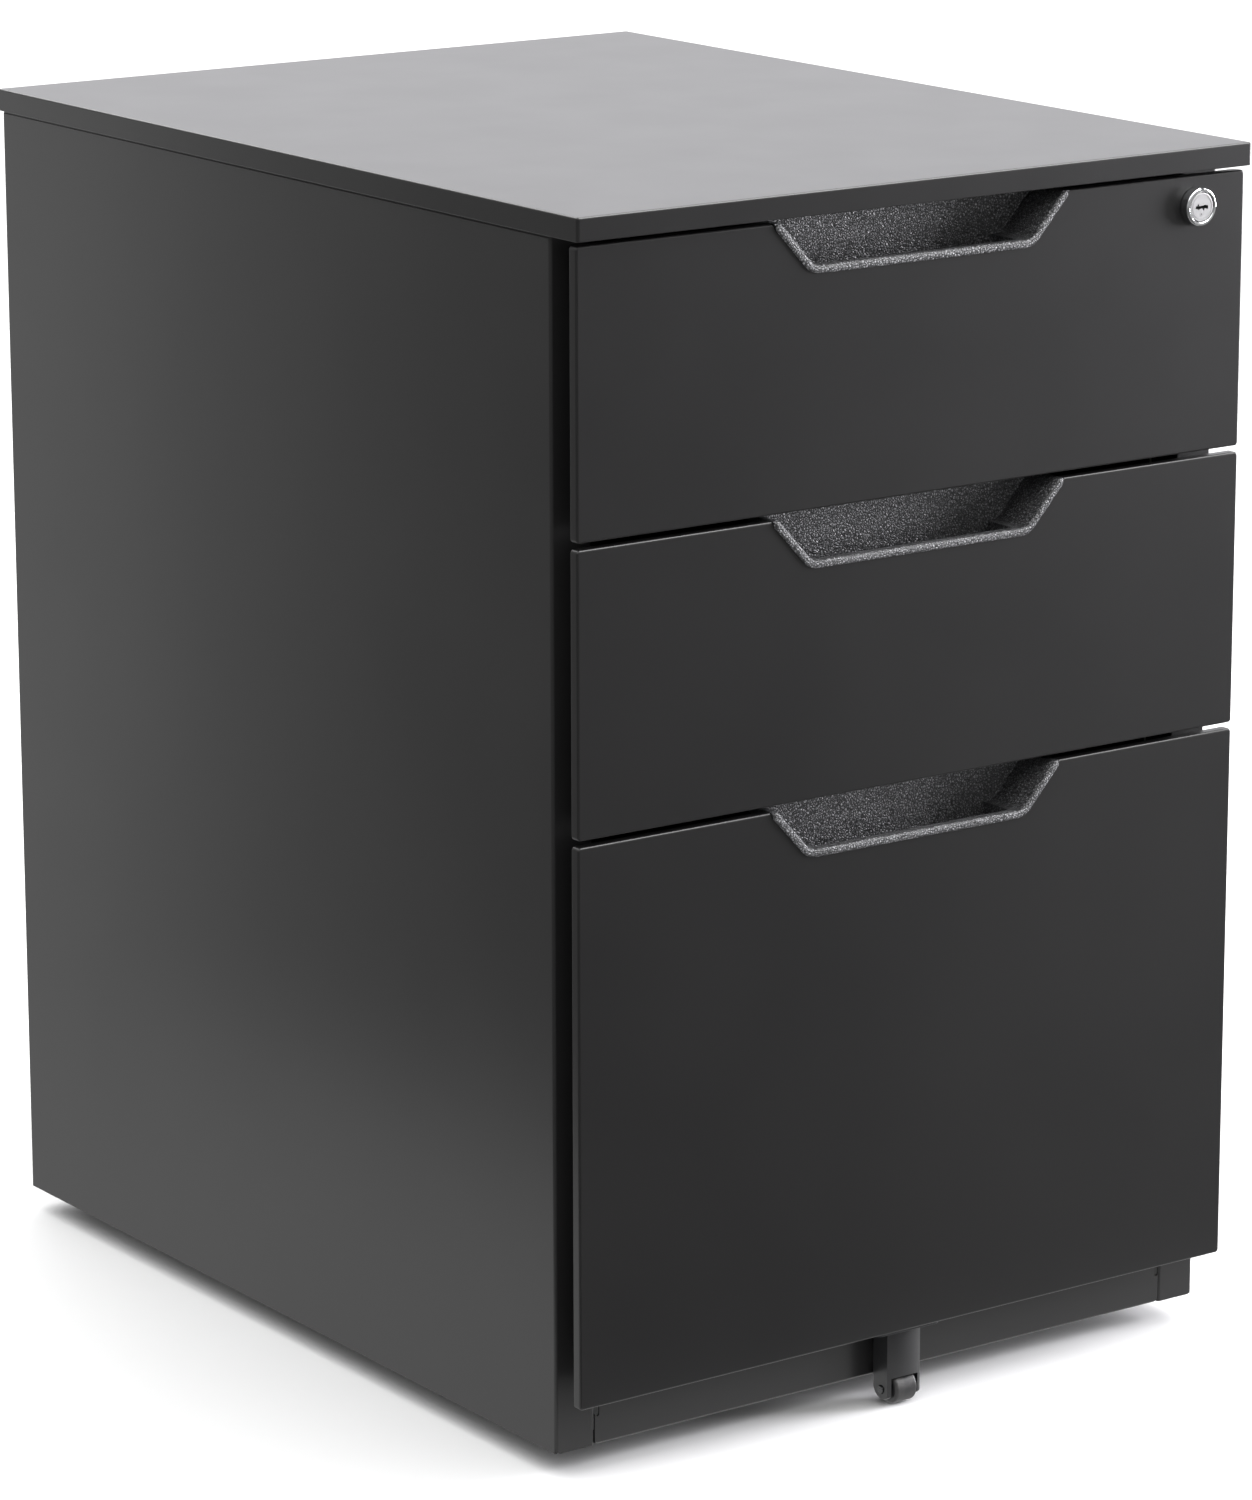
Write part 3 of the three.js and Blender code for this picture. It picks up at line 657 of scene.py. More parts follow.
def reflector(name, location, direction, size, strength):
    """A bright card that only gloss sees."""
    bm = bmesh.new()
    bmesh.ops.create_grid(bm, x_segments=1, y_segments=1, size=0.5)
    card = new_object(name, bm)
    card.scale = (*size, 1)
    card.location = location
    card.rotation_euler = Vector(direction).to_track_quat("Z", "Y").to_euler()
    card.visible_camera = False
    glow(card, strength)


def make_studio():
    bpy.context.scene.view_settings.view_transform = "Standard"
    make_world()
    make_floor()
    make_backdrop()
    for name, settings in SOFTBOXES.items():
        area_light(name, *settings)
    for name, settings in CARDS.items():
        reflector(name, *settings)


make_camera()
make_studio()

# ================================================================ body

side_low, side_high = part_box("side_panel_left")
FRONT_Y = side_low.y  # front edge of the side panels
REAR_Y = side_high.y
HALF = -side_low.x
POST_INNER = -side_high.x
BODY_BOTTOM = side_low.z
FRONT_LIP = 18 * MM
REAR_LIP = 60 * MM
FOOT_ROUND = 3.2 * MM  # rounding of the front flange's bottom corner
# The shadow gap along each side panel, right under the top panel's skirt.
SEAM = 1.3 * MM
SEAM_DEPTH = 0.8 * SHEET
CAP_FOLD = 1.1 * MM  # outside radius where the top panel folds down
CAP_FRONT_LIP = 21 * MM
# The studs that the lock bar slides on stand inside the right side panel's front post.
STUD_HEIGHTS = (300 * MM, 470 * MM)
STUD_SETBACK = 9 * MM
STUD_HEAD = 177.6 * MM  # where the head starts, from the cabinet's middle plane
STUD_END = 179 * MM
STUD_PROFILE = [
    (0, POST_INNER - 0.5 * SHEET), (2 * MM, POST_INNER - 0.5 * SHEET), (2 * MM, STUD_HEAD),
    (3.6 * MM, STUD_HEAD), (3.6 * MM, STUD_HEAD + 1 * MM), (3.1 * MM, STUD_END), (0, STUD_END),
]
BEYOND = 1 * MM  # how far a cutting tool reaches past what it cuts


def make_top_panel():
    low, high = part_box("top_panel")
    t = CAP_SHEET
    shape = rectangle((low.x, high.x), (low.y, high.y), 1.4 * MM)
    cap = solid("top_panel_skin", "z", shape, (low.z, high.z), 0.4 * MM, CAP_FOLD)
    inner = rectangle((low.x + t, high.x - t), (low.y + t, high.y - t), BEND)
    hollow = solid("hollow", "z", inner, (low.z + t, high.z - t), BEND, BEND)
    opening = rectangle((low.x + t, high.x - t), (low.y + CAP_FRONT_LIP, high.y - t), BEND)
    mouth = solid("mouth", "z", opening, (low.z - t, low.z + 2 * t))
    carve(cap, hollow, mouth)
    install(cap, "cabinet", COAT, ["top_panel"])


def make_side_panel(name, side):
    low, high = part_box(f"side_panel_{name}")
    path = [
        (side * POST_INNER, FRONT_Y + FRONT_LIP),
        (side * POST_INNER, FRONT_Y),
        (side * HALF, FRONT_Y),
        (side * HALF, REAR_Y),
        (side * POST_INNER, REAR_Y),
        (side * POST_INNER, REAR_Y - REAR_LIP),
    ]
    if side < 0:
        path.reverse()
    panel = folded(f"side_skin_{name}", "z", path, (low.z, high.z))
    corner = (side * (HALF - FOOT_ROUND), BODY_BOTTOM + FOOT_ROUND)
    turns = (-90, 0) if side > 0 else (180, 270)
    off = arc(corner, FOOT_ROUND, *turns) + [(side * (HALF + BEYOND), BODY_BOTTOM - BEYOND)]
    rounding = plate("rounding", "y", off, (FRONT_Y - BEYOND, FRONT_Y + SHEET))
    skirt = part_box("top_panel")[0].z
    across = sorted((side * (HALF - SEAM_DEPTH), side * (HALF + BEYOND)))
    along, height = (FRONT_Y - BEYOND, REAR_Y + BEYOND), (skirt - SEAM, skirt + GAP)
    carve(panel, rounding, block("seam", *zip(across, along, height)))
    if side > 0:
        for z in STUD_HEIGHTS:
            fuse(panel, lathe("stud", "x", (0, FRONT_Y + STUD_SETBACK, z), STUD_PROFILE, 32))
    install(panel, "cabinet", BODY_COAT, [f"side_panel_{name}"])


def make_toe_rail():
    low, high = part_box("toe_rail")
    path = [
        (high.y, low.z),
        (low.y, low.z),
        (low.y, high.z),
        (high.y, high.z),
    ]
    rail = folded("toe_rail_skin", "x", path[::-1], (low.x, high.x))
    # At each end: an upright slot, a round relief at the bottom corner and a screw hole.
    slot_half, relief, hole = 1.3 * MM, 1.5 * MM, 1.1 * MM
    slot_bottom, slot_top = BODY_BOTTOM + 14 * MM, high.z - 3 * MM
    hole_inset, hole_rise = 12 * MM, 23 * MM
    depth = (low.y - SHEET, low.y + 2 * SHEET)
    tools = []
    for side in SIDES.values():
        x = side * (high.x - slot_half)
        slot = arc((x, slot_bottom + slot_half), slot_half, 180, 360)
        slot += [(x + slot_half, slot_top), (x - slot_half, slot_top)]
        tools.append(plate("slot", "y", slot, depth))
        tools.append(cylinder("relief", "y", (side * high.x, low.z), relief, depth))
        spot = (side * (high.x - hole_inset), low.z + hole_rise)
        tools.append(cylinder("hole", "y", spot, hole, depth, sides=24))
    carve(rail, *tools)
    install(rail, "cabinet", BODY_COAT, ["toe_rail"])


def screw_head():
    """A pan head that stands on z = 0, with a cross recess."""
    radius, height = 3.4 * MM, 1.3 * MM
    head = lathe("screw", "z", (0, 0, 0), [
        (0, 0), (radius, 0), (radius, 0.25 * height), (0.93 * radius, 0.6 * height),
        (0.7 * radius, 0.9 * height), (0.35 * radius, height), (0, height),
    ], 24)
    arm, width = 0.55 * radius, 0.13 * radius
    low, high = 0.6 * height, 2 * height
    return carve(
        head, block("cross", (-arm, -width, low), (arm, width, high)),
        block("cross", (-width, -arm, low), (width, arm, high)),
    )


def screws(name, places):
    """Screws whose heads face the back."""
    turn = Matrix.Rotation(math.radians(-90), 4, "X")
    return scatter(name, screw_head(), [Matrix.Translation(p) @ turn for p in places])


def make_back_panel():
    low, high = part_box("back_panel")
    path = [(high.x, low.y), (high.x, high.y), (low.x, high.y), (low.x, low.y)]
    panel = folded("back_panel_skin", "z", path, (low.z, high.z))
    install(panel, "cabinet", BODY_COAT, ["back_panel"])
    inset, tall = 8 * MM, high.z - low.z
    heights = (low.z + 14 * MM, low.z + 0.35 * tall, low.z + 0.67 * tall, high.z - 30 * MM)
    places = [(x, high.y, z) for x in (low.x + inset, high.x - inset) for z in heights]
    install(screws("back_panel_screws", places), "cabinet", BLACK_SCREW)


def make_inner_body():
    install(from_cad("header_rail_skin", "header_rail"), "cabinet", BODY_COAT, ["header_rail"])
    install(from_cad("base_pan_skin", "base_pan"), "cabinet", BODY_COAT, ["base_pan"])


# ================================================================ slides

SLIDE_WALL = 1.2 * MM
MEMBER_BODY = {"outer": "cabinet", "middle": "slides_{}", "inner": "drawer_{}"}
WEB_HOLES = 4
WEB_HOLE = 2.3 * MM
# Each pair of ball rows: how far it is from the middle plane, and its span behind the front edge.
RACES = {"outer": (167.5 * MM, (202 * MM, 428 * MM)), "inner": (164.6 * MM, (12 * MM, 230 * MM))}
BALL = 1.45 * MM
BALLS_IN_ROW = 12
CAGE_HALF = (2.1 * MM, 0.3 * MM)  # half the width and half the thickness of a ball cage


def spaced(span, count):
    """The middles of a span's equal parts."""
    return [span[0] + (span[1] - span[0]) * (k + 0.5) / count for k in range(count)]


def make_slide_member(member, drawer, side_name, side):
    node = f"slide_{member}_{drawer}_{side_name}"
    low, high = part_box(node)
    near, far = (low.x, high.x) if side > 0 else (high.x, low.x)
    web, reach = (near, far) if member == "inner" else (far, near)
    path = [(reach, high.z), (web, high.z), (web, low.z), (reach, low.z)]
    turn = side * (1 if member == "inner" else -1)
    if turn < 0:
        path.reverse()
    channel = folded(f"{member}_channel_{drawer}_{side_name}", "y", path, (low.y, high.y), SLIDE_WALL)
    middle = (low.z + high.z) / 2
    through = (web - 2 * SLIDE_WALL, web + 2 * SLIDE_WALL)
    carve(channel, *(
        cylinder("hole", "x", (y, middle), WEB_HOLE, through, sides=20)
        for y in spaced((low.y, high.y), WEB_HOLES)
    ))
    install(channel, MEMBER_BODY[member].format(drawer), ZINC, [node])


def make_balls(drawer, side_name, side):
    """Two rows of balls between each pair of members, in strips that space them."""
    outer, middle, inner = (
        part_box(f"slide_{member}_{drawer}_{side_name}") for member in ("outer", "middle", "inner")
    )
    centre = (outer[0].z + outer[1].z) / 2
    ceilings = {"outer": (outer[1].z, middle[1].z), "inner": (middle[1].z, inner[1].z)}
    for race, (distance, span) in RACES.items():
        high, low = ceilings[race][0] - SLIDE_WALL, ceilings[race][1]
        radius = min(BALL, (high - low) / 2 - 0.05 * MM)
        lift = (high + low) / 2 - centre
        x = distance * side
        rows = [centre - lift, centre + lift]
        start, end = FRONT_Y + span[0], FRONT_Y + span[1]
        stations = spaced((start, end), BALLS_IN_ROW)
        bm = bmesh.new()
        bmesh.ops.create_icosphere(bm, subdivisions=3, radius=radius)
        ball = new_object("ball", bm)
        moves = [Matrix.Translation((x, y, z)) for z in rows for y in stations]
        balls = scatter(f"balls_{race}_{drawer}_{side_name}", ball, moves)
        install(balls, f"slides_{drawer}", BRIGHT_STEEL)
        strips = []
        wide, thin = CAGE_HALF
        for z in rows:
            strip = block("strip", (x - wide, start, z - thin), (x + wide, end, z + thin), 0.2 * MM)
            strips.append(carve(strip, *(
                cylinder("hole", "z", (x, y), radius + 0.1 * MM, (z - BEYOND, z + BEYOND), sides=20)
                for y in stations
            )))
        cage = gather(f"ball_cage_{race}_{drawer}_{side_name}", strips)
        install(cage, f"slides_{drawer}", ZINC)


def make_slides():
    for drawer in DRAWERS:
        for side_name, side in SIDES.items():
            for member in MEMBER_BODY:
                make_slide_member(member, drawer, side_name, side)
            make_balls(drawer, side_name, side)


# ================================================================ drawers

FACE_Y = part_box("drawer_front_top")[0].y
FRONT_HEM = 12 * MM
FRONT_BEND = 1.1 * MM  # outside radius round the face
FRONT_CORNER = 1.8 * MM

PULL_TOP_HALF = 87.8 * MM
PULL_BOTTOM_HALF = 65 * MM
PULL_HEIGHT = 25 * MM
PULL_SLOPE = (PULL_TOP_HALF - PULL_BOTTOM_HALF) / PULL_HEIGHT
PULL_CORNER = 12 * MM
PULL_RIM = 3.7 * MM
PULL_PROUD = 1.5 * MM
PULL_OVER_TOP = 0.7 * MM
PULL_DEPTH = 22 * MM
PULL_WALL = 2 * MM
BEAD_ROUND = 1.1 * MM  # how far back the bead's rounding reaches
BEAD_CROWN = 1.5 * MM  # and how far across it
WELL_HALF = 58 * MM
WELL_DROP = 12 * MM
NOTCH_INSET = 1 * MM

lock_low, lock_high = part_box("lock_housing")
LOCK_X = (lock_low.x + lock_high.x) / 2
LOCK_Z = (lock_low.z + lock_high.z) / 2
LOCK_BARREL = 8 * MM
NUT_ROOM = 12.6 * MM


def pull_half(z, inset):
    """Half the pull's width at a height under the front's top edge."""
    return PULL_BOTTOM_HALF + (z + PULL_HEIGHT) * PULL_SLOPE - inset * math.hypot(1, PULL_SLOPE)


def pull_shape(inset, top, base=0.0):
    """The pull's outline, drawn in by a margin, from a top height down; base is where z = 0 is."""
    low = inset - PULL_HEIGHT
    upper, lower = pull_half(top, inset), pull_half(low, inset)
    points = [(upper, top), (-upper, top), (-lower, low), (lower, low)]
    corner = PULL_CORNER - inset
    return outline([(a, b + base) for a, b in points], [0, 0, corner, corner], 10)


def rim_shape(base):
    """The bead round the pull's mouth: a band with round ends, open at the top."""
    rise = PULL_RIM * PULL_SLOPE / math.hypot(1, PULL_SLOPE)
    top_inner, top_outer = PULL_OVER_TOP, PULL_OVER_TOP - rise
    low_outer, low_inner = -PULL_HEIGHT, PULL_RIM - PULL_HEIGHT
    outer_top, outer_low = pull_half(top_outer, 0), pull_half(low_outer, 0)
    inner_top, inner_low = pull_half(top_inner, PULL_RIM), pull_half(low_inner, PULL_RIM)
    points = [
        (-outer_top, top_outer), (-outer_low, low_outer), (outer_low, low_outer), (outer_top, top_outer),
        (inner_top, top_inner), (inner_low, low_inner), (-inner_low, low_inner), (-inner_top, top_inner),
    ]
    end, inner = 0.49 * PULL_RIM, PULL_CORNER - PULL_RIM
    radii = [end, PULL_CORNER, PULL_CORNER, end, end, inner, inner, end]
    return outline([(a, b + base) for a, b in points], radii, 10)


def make_finger_pull(drawer):
    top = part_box(f"drawer_front_{drawer}")[1].z
    back = FACE_Y + PULL_DEPTH + PULL_WALL
    skin = FACE_Y + SHEET + GAP
    well_floor = top - PULL_HEIGHT - WELL_DROP
    lip = top + PULL_RIM - PULL_HEIGHT
    cup = pull_shape(NOTCH_INSET + GAP, 0, top)
    pull = solid(f"pull_cup_{drawer}", "y", cup, (FACE_Y - 0.6 * MM, back), 0, 1.5 * MM)
    wide = WELL_HALF + PULL_WALL
    well = block("well", (-wide, skin, well_floor - PULL_WALL), (wide, back, lip), 1.2 * MM)
    fuse(pull, well)
    inner = FACE_Y + PULL_DEPTH
    mouth_shape = pull_shape(PULL_RIM + 0.2 * MM, 2 * MM, top)
    mouth = solid("mouth", "y", mouth_shape, (FACE_Y - 3 * MM, inner), 0, 0.8 * MM)
    room_low, room_high = (-WELL_HALF, skin + PULL_WALL, well_floor), (WELL_HALF, inner, lip + 0.7 * MM)
    carve(pull, mouth, block("room", room_low, room_high, 0.5 * MM))
    span = (FACE_Y - PULL_PROUD, FACE_Y - GAP)
    fuse(pull, solid("bead", "y", rim_shape(top), span, BEAD_ROUND, 0, 7, BEAD_CROWN))
    install(pull, f"drawer_{drawer}", GRAIN, [f"finger_pull_{drawer}"], 50)


def make_drawer_front(drawer):
    low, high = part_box(f"drawer_front_{drawer}")
    top = high.z
    upper, lower = pull_half(0, NOTCH_INSET), pull_half(NOTCH_INSET - PULL_HEIGHT, NOTCH_INSET)
    notch_low = top + NOTCH_INSET - PULL_HEIGHT
    points = [
        (low.x, low.z), (high.x, low.z), (high.x, top), (upper, top),
        (lower, notch_low), (-lower, notch_low), (-upper, top), (low.x, top),
    ]
    corner, notch_corner = FRONT_CORNER, PULL_CORNER - NOTCH_INSET
    radii = [corner, corner, corner, 0, notch_corner, notch_corner, 0, corner]
    shape = outline(points, radii, 8)
    front = solid(f"front_skin_{drawer}", "y", shape, (low.y, high.y), FRONT_BEND, 0.5 * MM, 5)
    inner = rectangle((low.x + SHEET, high.x - SHEET), (low.z + SHEET, top - SHEET), 0.8 * MM)
    hollow = solid("hollow", "y", inner, (low.y + SHEET, high.y - SHEET), 0.4 * MM, 0.2 * MM)
    hem = FRONT_HEM
    gap = rectangle((low.x + hem, high.x - hem), (low.z + hem, top - hem), 3 * MM)
    opening = solid("opening", "y", gap, (high.y - 2 * SHEET, high.y + SHEET))
    tools = [hollow, opening]
    if drawer == "top":
        hole_y = (low.y - SHEET, low.y + 2 * SHEET)
        tools.append(cylinder("hole", "y", (LOCK_X, LOCK_Z), LOCK_BARREL + GAP, hole_y))
        nut_y = (low.y + 2 * SHEET, high.y + SHEET)
        tools.append(cylinder("nut_room", "y", (LOCK_X, LOCK_Z), NUT_ROOM, nut_y))
    carve(front, *tools)
    install(front, f"drawer_{drawer}", COAT, [f"drawer_front_{drawer}"])


TRAY_HEM = 2.2 * MM  # width of the folded rim
TRAY_HEM_DROP = 7 * MM
FILE_TRAY_FLOOR = 58 * MM
APRON_HALF = 45 * MM
BEAD_HALF = 5 * MM  # half the width of a stiffening bead in a tray's floor
BEAD_SETBACK = 45 * MM
CATCH_REACH = 6 * MM
CATCH_SPAN = (23 * MM, 30 * MM)  # behind the body's front edge


def make_tray(drawer):
    low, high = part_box(f"tray_{drawer}")
    half = -low.x
    floor = FILE_TRAY_FLOOR if drawer == "bottom" else low.z
    y = (low.y, high.y)
    t = SHEET
    box = solid(
        f"tray_shell_{drawer}", "z", rectangle((-half, half), y, 1.6 * MM),
        (floor, high.z), 1.2 * MM, 0.45 * MM,
    )
    inner = rectangle((-half + t, half - t), (y[0] + t, y[1] - t), 0.8 * MM)
    room = solid("room", "z", inner, (floor + t, high.z - TRAY_HEM_DROP), 0.8 * MM, 0.6 * MM)
    hem = TRAY_HEM
    mouth_shape = rectangle((-half + hem, half - hem), (y[0] + hem, y[1] - hem), 0.6 * MM)
    mouth = solid("mouth", "z", mouth_shape, (floor + 3 * t, high.z + t))
    carve(box, room, mouth)
    beads = []
    for x in (-0.55 * half, 0, 0.55 * half):
        span = (y[0] + BEAD_SETBACK, y[1] - BEAD_SETBACK)
        shape = rectangle((x - BEAD_HALF, x + BEAD_HALF), span, BEAD_HALF - TINY, 8)
        beads.append(solid("bead", "z", shape, (floor + 0.5 * t, floor + 1.9 * t), 0, 0.8 * MM))
    fuse(box, *beads)
    catch_low = (half - 0.5 * t, FRONT_Y + CATCH_SPAN[0], high.z - TRAY_HEM_DROP)
    catch_high = (half + CATCH_REACH, FRONT_Y + CATCH_SPAN[1], high.z - 1 * MM)
    fuse(box, block("catch", catch_low, catch_high, 0.3 * MM))
    if drawer == "bottom":
        path = [(FRONT_Y - 1.5 * MM, low.z), (y[0], low.z), (y[0], floor + 0.5 * t)]
        fuse(box, folded("apron", "x", path[::-1], (-APRON_HALF, APRON_HALF)))
    install(box, f"drawer_{drawer}", TRAY_COAT, [f"tray_{drawer}"])
    places = [
        (x, y[0] + t, z) for x in (-0.72 * half, 0.72 * half)
        for z in (floor + 18 * MM, high.z - 18 * MM)
    ]
    install(screws(f"front_screws_{drawer}", places), f"drawer_{drawer}", ZINC)


def make_drawers():
    for drawer in DRAWERS:
        make_drawer_front(drawer)
        make_finger_pull(drawer)
        make_tray(drawer)
    for side_name in SIDES:
        rail = from_cad(f"folder_rail_{side_name}", f"file_rail_{side_name}", 0.3 * MM)
        install(rail, "drawer_bottom", ZINC, [f"file_rail_{side_name}"])


# ================================================================ lock

LOCK_FRONT = lock_low.y
LOCK_RIM = (lock_high.x - lock_low.x) / 2
PLUG_RADIUS = 7 * MM


def make_lock():
    centre = (LOCK_X, 0, LOCK_Z)
    f, rim = LOCK_FRONT, LOCK_RIM
    bore = PLUG_RADIUS + GAP
    profile = [
        (bore, f + 0.9 * MM), (bore + 0.05 * MM, f + 0.35 * MM), (bore + 0.3 * MM, f + 0.08 * MM),
        (bore + 0.6 * MM, f), (rim - 0.95 * MM, f), (rim - 0.5 * MM, f + 0.15 * MM),
        (rim - 0.15 * MM, f + 0.5 * MM), (rim, f + 0.95 * MM), (rim, FACE_Y - 0.9 * MM),
        (rim - 0.12 * MM, FACE_Y - GAP), (LOCK_BARREL, FACE_Y - GAP),
        (LOCK_BARREL, lock_high.y), (bore, lock_high.y),
    ]
    housing = lathe("lock_shell", "y", centre, profile, 96)
    notch_half = 1.1 * MM
    notch_low = (LOCK_X - notch_half, f - MM, LOCK_Z + LOCK_BARREL)
    notch_high = (LOCK_X + notch_half, f + 1.6 * MM, LOCK_Z + LOCK_BARREL + 3 * MM)
    carve(housing, block("notch", notch_low, notch_high))
    install(housing, "drawer_top", CHROME, ["lock_housing"], 30)

    plug_low, plug_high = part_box("lock_plug")
    front = plug_low.y
    face = circle((LOCK_X, LOCK_Z), PLUG_RADIUS, 96)
    plug = solid("lock_face", "y", face, (front, plug_high.y), 0.35 * MM, 0.2 * MM)
    # The keyway in millimetres from the plug's axis: a slot with wards that stand out from it.
    half, low, high = 3.85, -0.65, 0.65
    keyway = [
        (-half, low), (-2.9, low), (-2.5, -1.1), (-1.5, -1.1), (-1.0, low), (0.5, low), (0.7, -1.7),
        (1.3, -1.7), (1.6, low), (2.6, low), (2.9, -1.05), (half, -1.05), (half, high),
        (2.9, high), (2.5, 1.0), (1.4, 1.0), (1.0, high), (-1.6, high), (-1.9, 1.6), (-2.6, 1.6),
        (-2.8, high), (-half, high),
    ]
    points = [(LOCK_X + a * MM, LOCK_Z + b * MM) for a, b in keyway]
    keyhole = plate("keyway", "y", points, (front - MM, front + 12 * MM))
    spot = (LOCK_X - 0.4 * MM, LOCK_Z - 3.4 * MM)
    mark = cylinder("mark", "y", spot, 0.5 * MM, (front - MM, front + 0.4 * MM), sides=20)
    near, far, bottom = 5.75 * MM, 6.05 * MM, front + 0.18 * MM
    ring = [(near, front - MM), (far, front - MM), (far, bottom), (near, bottom)]
    carve(plug, keyhole, mark, lathe("groove", "y", centre, ring, 96))
    install(plug, "lock_cylinder", NICKEL, ["lock_plug"], 30)

    install(from_cad("lock_tail_cam", "lock_cam", 0.2 * MM), "lock_cylinder", ZINC, ["lock_cam"])
    install(from_cad("lock_hex_nut", "lock_nut", 0.3 * MM), "drawer_top", ZINC, ["lock_nut"])
    install(from_cad("lock_lift_bar", "lock_bar", 0.2 * MM), "lock_bar", ZINC, ["lock_bar"])


# ================================================================ anti-tip wheel

tip_low, tip_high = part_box("anti_tip_bracket")
TIP_HALF = 10 * MM
TIP_CHEEK = 2 * MM
TIP_ROUND = 7 * MM
TIP_ROUND_Z = 10 * MM
TIP_AXLE_Y = FRONT_Y - 9.5 * MM
TIP_AXLE_Z = 8.3 * MM
TIP_SHIELD_BOTTOM = 15.5 * MM
TIP_BULGE = 2.4 * MM  # how far the shield bows forward between the cheeks
TIP_ARCH = 40 * MM  # radius of the shield's lower edge
TIP_AXLE = 2 * MM
TIP_BORE = TIP_AXLE + GAP
TIP_RIVETS = 15 * MM  # how far the rivets are from the middle


def wheel_profile(node, face, rounding):
    """A wheel's section: its face as (radius, depth) pairs, then its rounded tread."""
    low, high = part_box(node)
    half, radius = (high.x - low.x) / 2, (high.z - low.z) / 2
    turns = [math.pi / 2 * k / 5 for k in range(6)]
    flank = [(r, half - depth) for r, depth in face] + [
        (radius - rounding * (1 - math.sin(t)), half - rounding * (1 - math.cos(t))) for t in turns
    ]
    return [(r, -s) for r, s in flank] + flank[::-1]


def make_anti_tip():
    front, rear = TIP_AXLE_Y - TIP_ROUND, TIP_AXLE_Y + TIP_ROUND
    top = tip_high.z
    low_arc = arc((TIP_AXLE_Y, TIP_ROUND_Z), TIP_ROUND, 180, 360, 16)
    side_view = low_arc + [(rear, top - 0.4 * MM), (front, top - 0.4 * MM)]
    bracket = plate("tip_housing", "x", side_view, (-TIP_HALF, TIP_HALF), 0.8 * MM)
    radius = (TIP_HALF**2 + TIP_BULGE**2) / (2 * TIP_BULGE)
    middle = (0, front + radius)

    def bowed(half, inset, back):
        """A plan view whose front bows forward."""
        reach = math.degrees(math.asin(half / (radius - inset)))
        return arc(middle, radius - inset, 270 - reach, 270 + reach) + [(half, back), (-half, back)]

    room_half = TIP_HALF - TIP_CHEEK
    plan = plate("plan", "z", bowed(TIP_HALF + TINY, 0, rear + BEYOND), (0, top))
    combine(bracket, [plan], "INTERSECT")
    room = plate("room", "z", bowed(room_half, TIP_CHEEK, rear + BEYOND), (-BEYOND, top - TIP_CHEEK))
    reach = math.degrees(math.asin(room_half / TIP_ARCH))
    arch = arc((0, TIP_SHIELD_BOTTOM - TIP_ARCH), TIP_ARCH, 90 - reach, 90 + reach)
    gap = arch + [(-room_half, -BEYOND), (room_half, -BEYOND)]
    opening = plate("opening", "y", gap, (front - BEYOND, front + 6 * MM))
    through = (-TIP_HALF - BEYOND, TIP_HALF + BEYOND)
    bore = cylinder("bore", "x", (TIP_AXLE_Y, TIP_AXLE_Z), TIP_BORE, through, sides=32)
    carve(bracket, room, opening, bore)
    flange_shape = rectangle((tip_low.x, tip_high.x), (tip_low.y, tip_high.y), 3 * MM)
    fuse(bracket, solid("flange", "z", flange_shape, (top - 1 * MM, top), 0.25 * MM, 0.2 * MM))
    install(bracket, "drawer_bottom", PLASTIC, ["anti_tip_bracket"], 35)

    rivet = lathe("rivet", "z", (0, 0, 0), [
        (0, 0), (1.9 * MM, 0), (1.75 * MM, -0.5 * MM), (1.2 * MM, -0.95 * MM), (0, -1.15 * MM),
    ], 24)
    places = [(x, FRONT_Y - 8 * MM, top - 1 * MM) for x in (-TIP_RIVETS, TIP_RIVETS)]
    moves = [Matrix.Translation(p) for p in places]
    install(scatter("tip_rivets", rivet, moves), "drawer_bottom", ZINC)

    face = [(TIP_BORE, 0.6 * MM), (3.6 * MM, 0.6 * MM), (4.1 * MM, 0)]
    profile = wheel_profile("anti_tip_wheel", face, 1.6 * MM)
    wheel = lathe("tip_roller", "x", (0, TIP_AXLE_Y, TIP_AXLE_Z), profile, 64)
    install(wheel, "anti_tip_wheel", RUBBER, ["anti_tip_wheel"], 45)

    low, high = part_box("anti_tip_axle")
    axle = cylinder("tip_axle", "x", (TIP_AXLE_Y, TIP_AXLE_Z), TIP_AXLE, (low.x, high.x), 0.5 * MM, 32)
    install(axle, "drawer_bottom", DARK_STEEL, ["anti_tip_axle"])


# ================================================================ casters

RACE_RADIUS = 13 * MM
KINGPIN_RADIUS = 3.5 * MM
CASTER_TRAIL = 12 * MM
FORK_INNER = 8.7 * MM
FORK_SHEET = 1.5 * MM
FORK_BOSS = 6 * MM
AXLE_BORE = 3.3 * MM
# A caster wheel's face, from its bore out, in millimetres: radius and depth below the face.
WHEEL_FACE = [(3.3, 0.1), (6.1, 0.1), (6.5, 0.5), (7.2, 2), (11.8, 2), (12.6, 0.6), (12.9, 0)]


